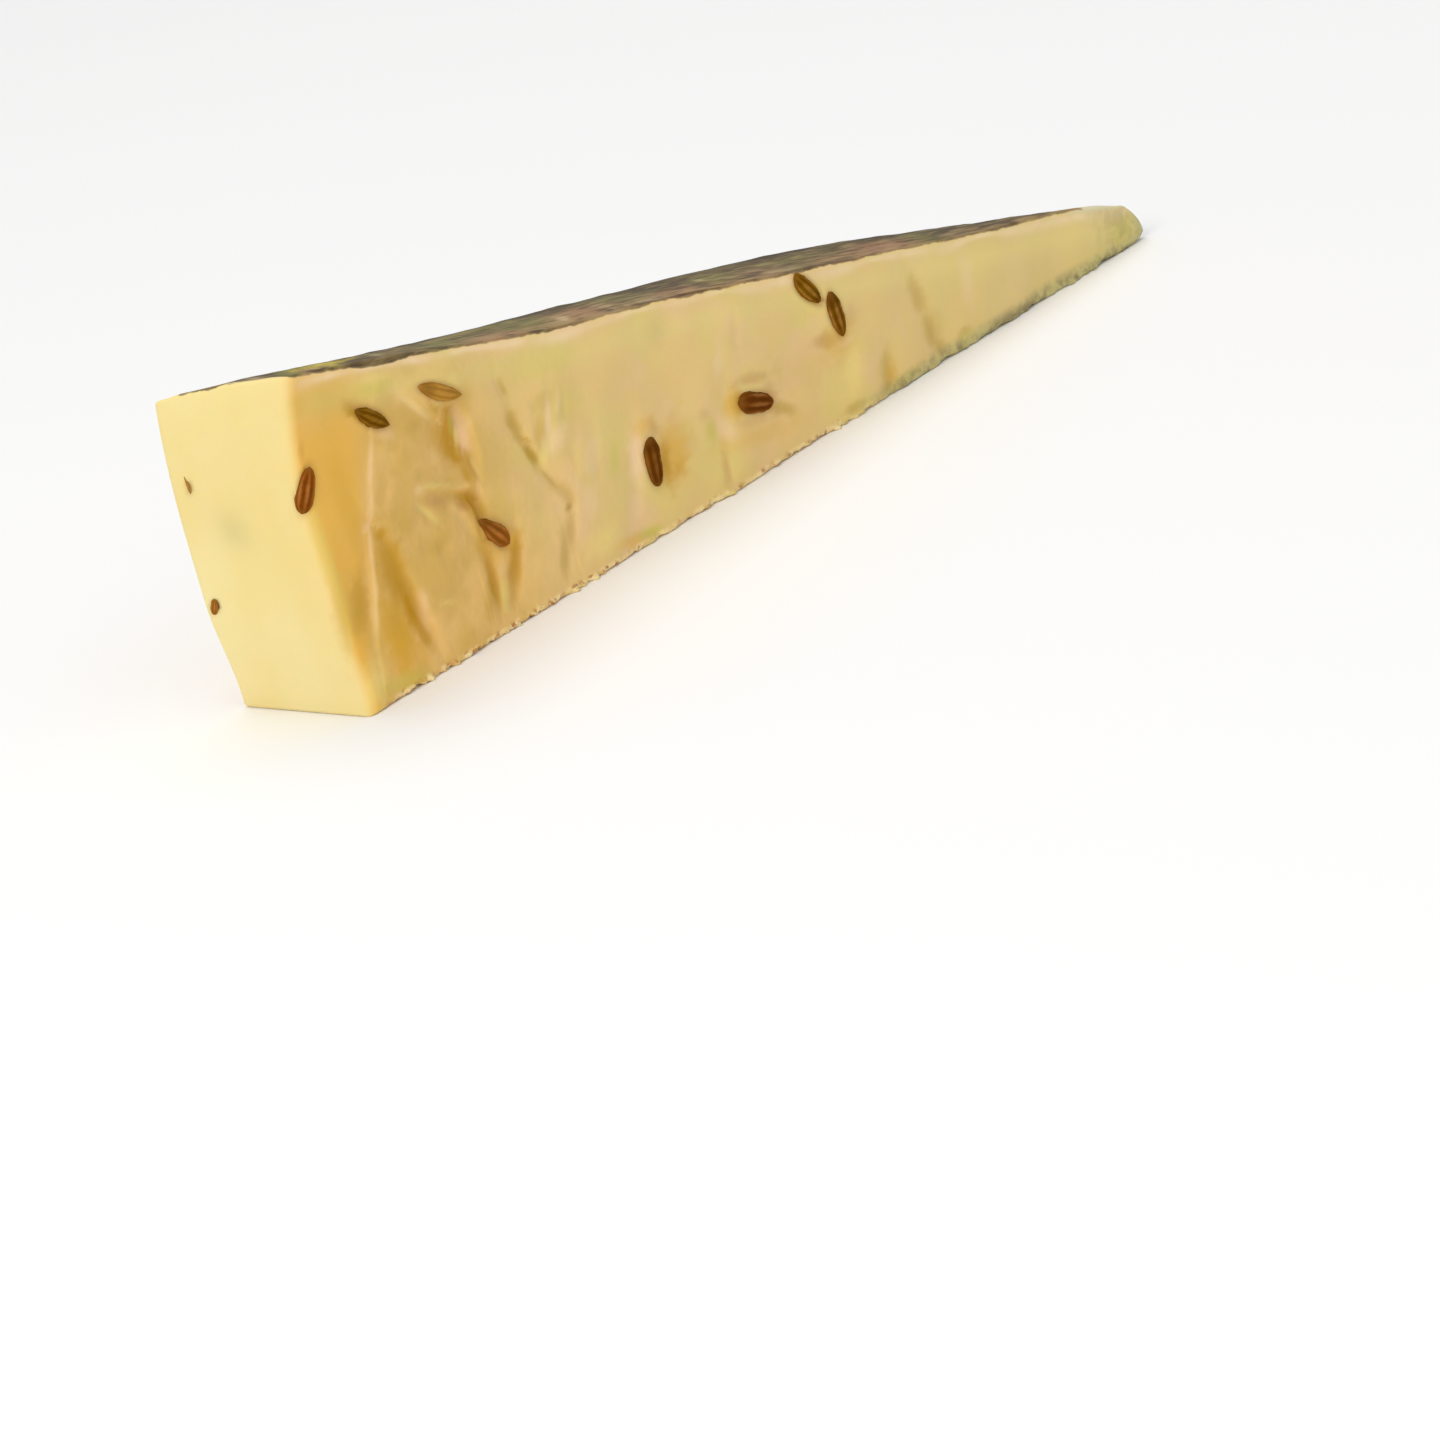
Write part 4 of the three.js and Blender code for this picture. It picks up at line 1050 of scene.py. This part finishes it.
def seed_material():
    s = Shader("cumin_seed")
    tone = s.value("tone")
    body = s.blend(s.value("red"), (142, 100, 10), (160, 80, 22))
    body = s.blend(s.spread(tone, 0, 0.5, 0.7, 0), body, (70, 32, 2))
    body = s.blend(s.spread(tone, 0.5, 1, 0, 1), body, (206, 154, 66))
    skin = s.blend(s.spread(s.value("rib"), 0.1, 0.6, 0.5, 0), body, (66, 30, 0))
    crest = s.times(s.spread(s.value("rib"), 0.5, 0.95), s.value("ribbed"))
    skin = s.blend(crest, skin, (186, 134, 76))
    flecks = s.noise(1200, 2, 0.6, s.place((0.5, 1, 1)))
    skin = s.blend(s.spread(flecks, 0.42, 0.66, 0, 0.35), skin, (80, 42, 2))
    skin = s.blend(s.value("shade"), skin, (84, 46, 4))
    skin = s.blend(s.times(s.value("edge"), 0.35), skin, (156, 106, 40))
    s.fill(s.bsdf, {
        "Base Color": s.blend(s.value("pale"), skin, (206, 152, 62)),
        "Normal": s.bump(s.noise(1800), 0.00005, 0.6),
        "Roughness": 0.9,
        "Specular IOR Level": 0.03,
    })
    return s.material


def floor_material():
    s = Shader("pale_floor")
    s.fill(s.bsdf, {"Base Color": colour(251, 251, 251), "Roughness": 0.9, "Specular IOR Level": 0.1})
    return s.material


# The pieces


def offset_to_cad():
    """The move from the wedge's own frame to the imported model's: the nose gives x and y, the base z."""
    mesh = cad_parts[NODE].data
    places = np.empty(len(mesh.vertices) * 3)
    mesh.vertices.foreach_get("co", places)
    places = places.reshape(-1, 3) / MM
    nose = places[places[:, 0] > places[:, 0].max() - 0.02]
    return np.array([places[:, 0].max() - LENGTH - NOSE_REACH, nose[:, 1].min(), places[:, 2].min()])


def make_wedge(seeds, move):
    columns = crowded(COLUMNS, column_weight)
    shares, faces = box_grid(columns, crowded(DEEP_ROWS, near_ends), crowded(ROWS, near_ends))
    points = wedge_points(*shares)
    values = paint_values(points, seeds)
    wedge = new_piece("wedge_paste_and_rind", dented(points, seeds) + move, faces, values)
    wedge.data.materials.append(cheese_material())
    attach(wedge, "root")
    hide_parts(NODE)


def make_seeds(seeds, move):
    points, faces = [], []
    values = {title: [] for title in ("rib", "edge", "shade", "tone", "red", "ribbed", "pale")}
    for one in seeds:
        shape, sides, paint = seed_shape(one)
        start = sum(len(part) for part in points)
        points.append(shape)
        faces += [tuple(start + i for i in side) for side in sides]
        for title, parts in values.items():
            parts.append(paint[title] if title in paint else np.full(len(shape), one[title]))
    values = {title: np.concatenate(parts) for title, parts in values.items()}
    cumin = new_piece("cumin_seeds", np.concatenate(points) + move, faces, values)
    cumin.data.materials.append(seed_material())
    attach(cumin, "root")
    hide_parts(NODE)


# Floor, light and camera


def make_floor():
    corners = FLOOR_REACH * np.array([(-1, -1, 0), (1, -1, 0), (1, 1, 0), (-1, 1, 0)])
    floor = new_piece("floor", corners, [(0, 1, 2, 3)], {})
    floor.data.materials.append(floor_material())


def area_light(name, direction, distance, size, power, tint=(1, 1, 1)):
    light = bpy.data.lights.new(name, "AREA")
    light.shape = "DISK"
    light.size = size
    light.energy = power
    light.color = tint
    lamp = add_object(name, light)
    way = Vector(direction).normalized()
    lamp.location = way * distance
    lamp.rotation_euler = way.to_track_quat("Z", "Y").to_euler()


def make_lights():
    area_light("key", (-0.9, -0.2, 0.6), 1.2, 0.6, 5.1, (1.0, 0.99, 0.97))
    area_light("fill", (-0.2, -0.9, 0.7), 1.6, 1.4, 2.2)
    area_light("top", (0.1, 0.2, 1.0), 1.4, 1.2, 6.5)
    world = bpy.data.worlds.new("studio")
    world.use_nodes = True
    background = world.node_tree.nodes["Background"].inputs
    background["Color"].default_value = (1, 1, 1, 1)
    background["Strength"].default_value = 0.5
    bpy.context.scene.world = world


def make_camera(move):
    level_back = Vector((sin(CAMERA_AZIMUTH), -cos(CAMERA_AZIMUTH), 0))
    back = level_back * cos(CAMERA_ELEVATION) + Vector((0, 0, sin(CAMERA_ELEVATION)))
    right = Vector((cos(CAMERA_AZIMUTH), sin(CAMERA_AZIMUTH), 0))
    up = back.cross(right)
    rolled_right = right * cos(CAMERA_ROLL) - up * sin(CAMERA_ROLL)
    rolled_up = right * sin(CAMERA_ROLL) + up * cos(CAMERA_ROLL)
    corner = Vector(move * MM)
    aim = corner + (rolled_right * CAMERA_AIM[0] - rolled_up * CAMERA_AIM[1]) * MM
    data = bpy.data.cameras.new("camera")
    data.sensor_width = SENSOR
    data.angle = 2 * atan(PHOTO_PIXELS / 2 / (PIXELS_PER_MM * CAMERA_DISTANCE))
    camera = add_object("camera", data)
    basis = Matrix((rolled_right, rolled_up, back)).transposed().to_4x4()
    basis.translation = aim + back * CAMERA_DISTANCE * MM
    camera.matrix_world = basis
    bpy.context.scene.camera = camera


offset = offset_to_cad()
seeds_in_place = [placed(one) for one in SEEDS]
make_wedge(seeds_in_place, offset)
make_seeds(seeds_in_place, offset)
make_floor()
make_lights()
make_camera(offset)
bpy.context.scene.view_settings.view_transform = "Standard"
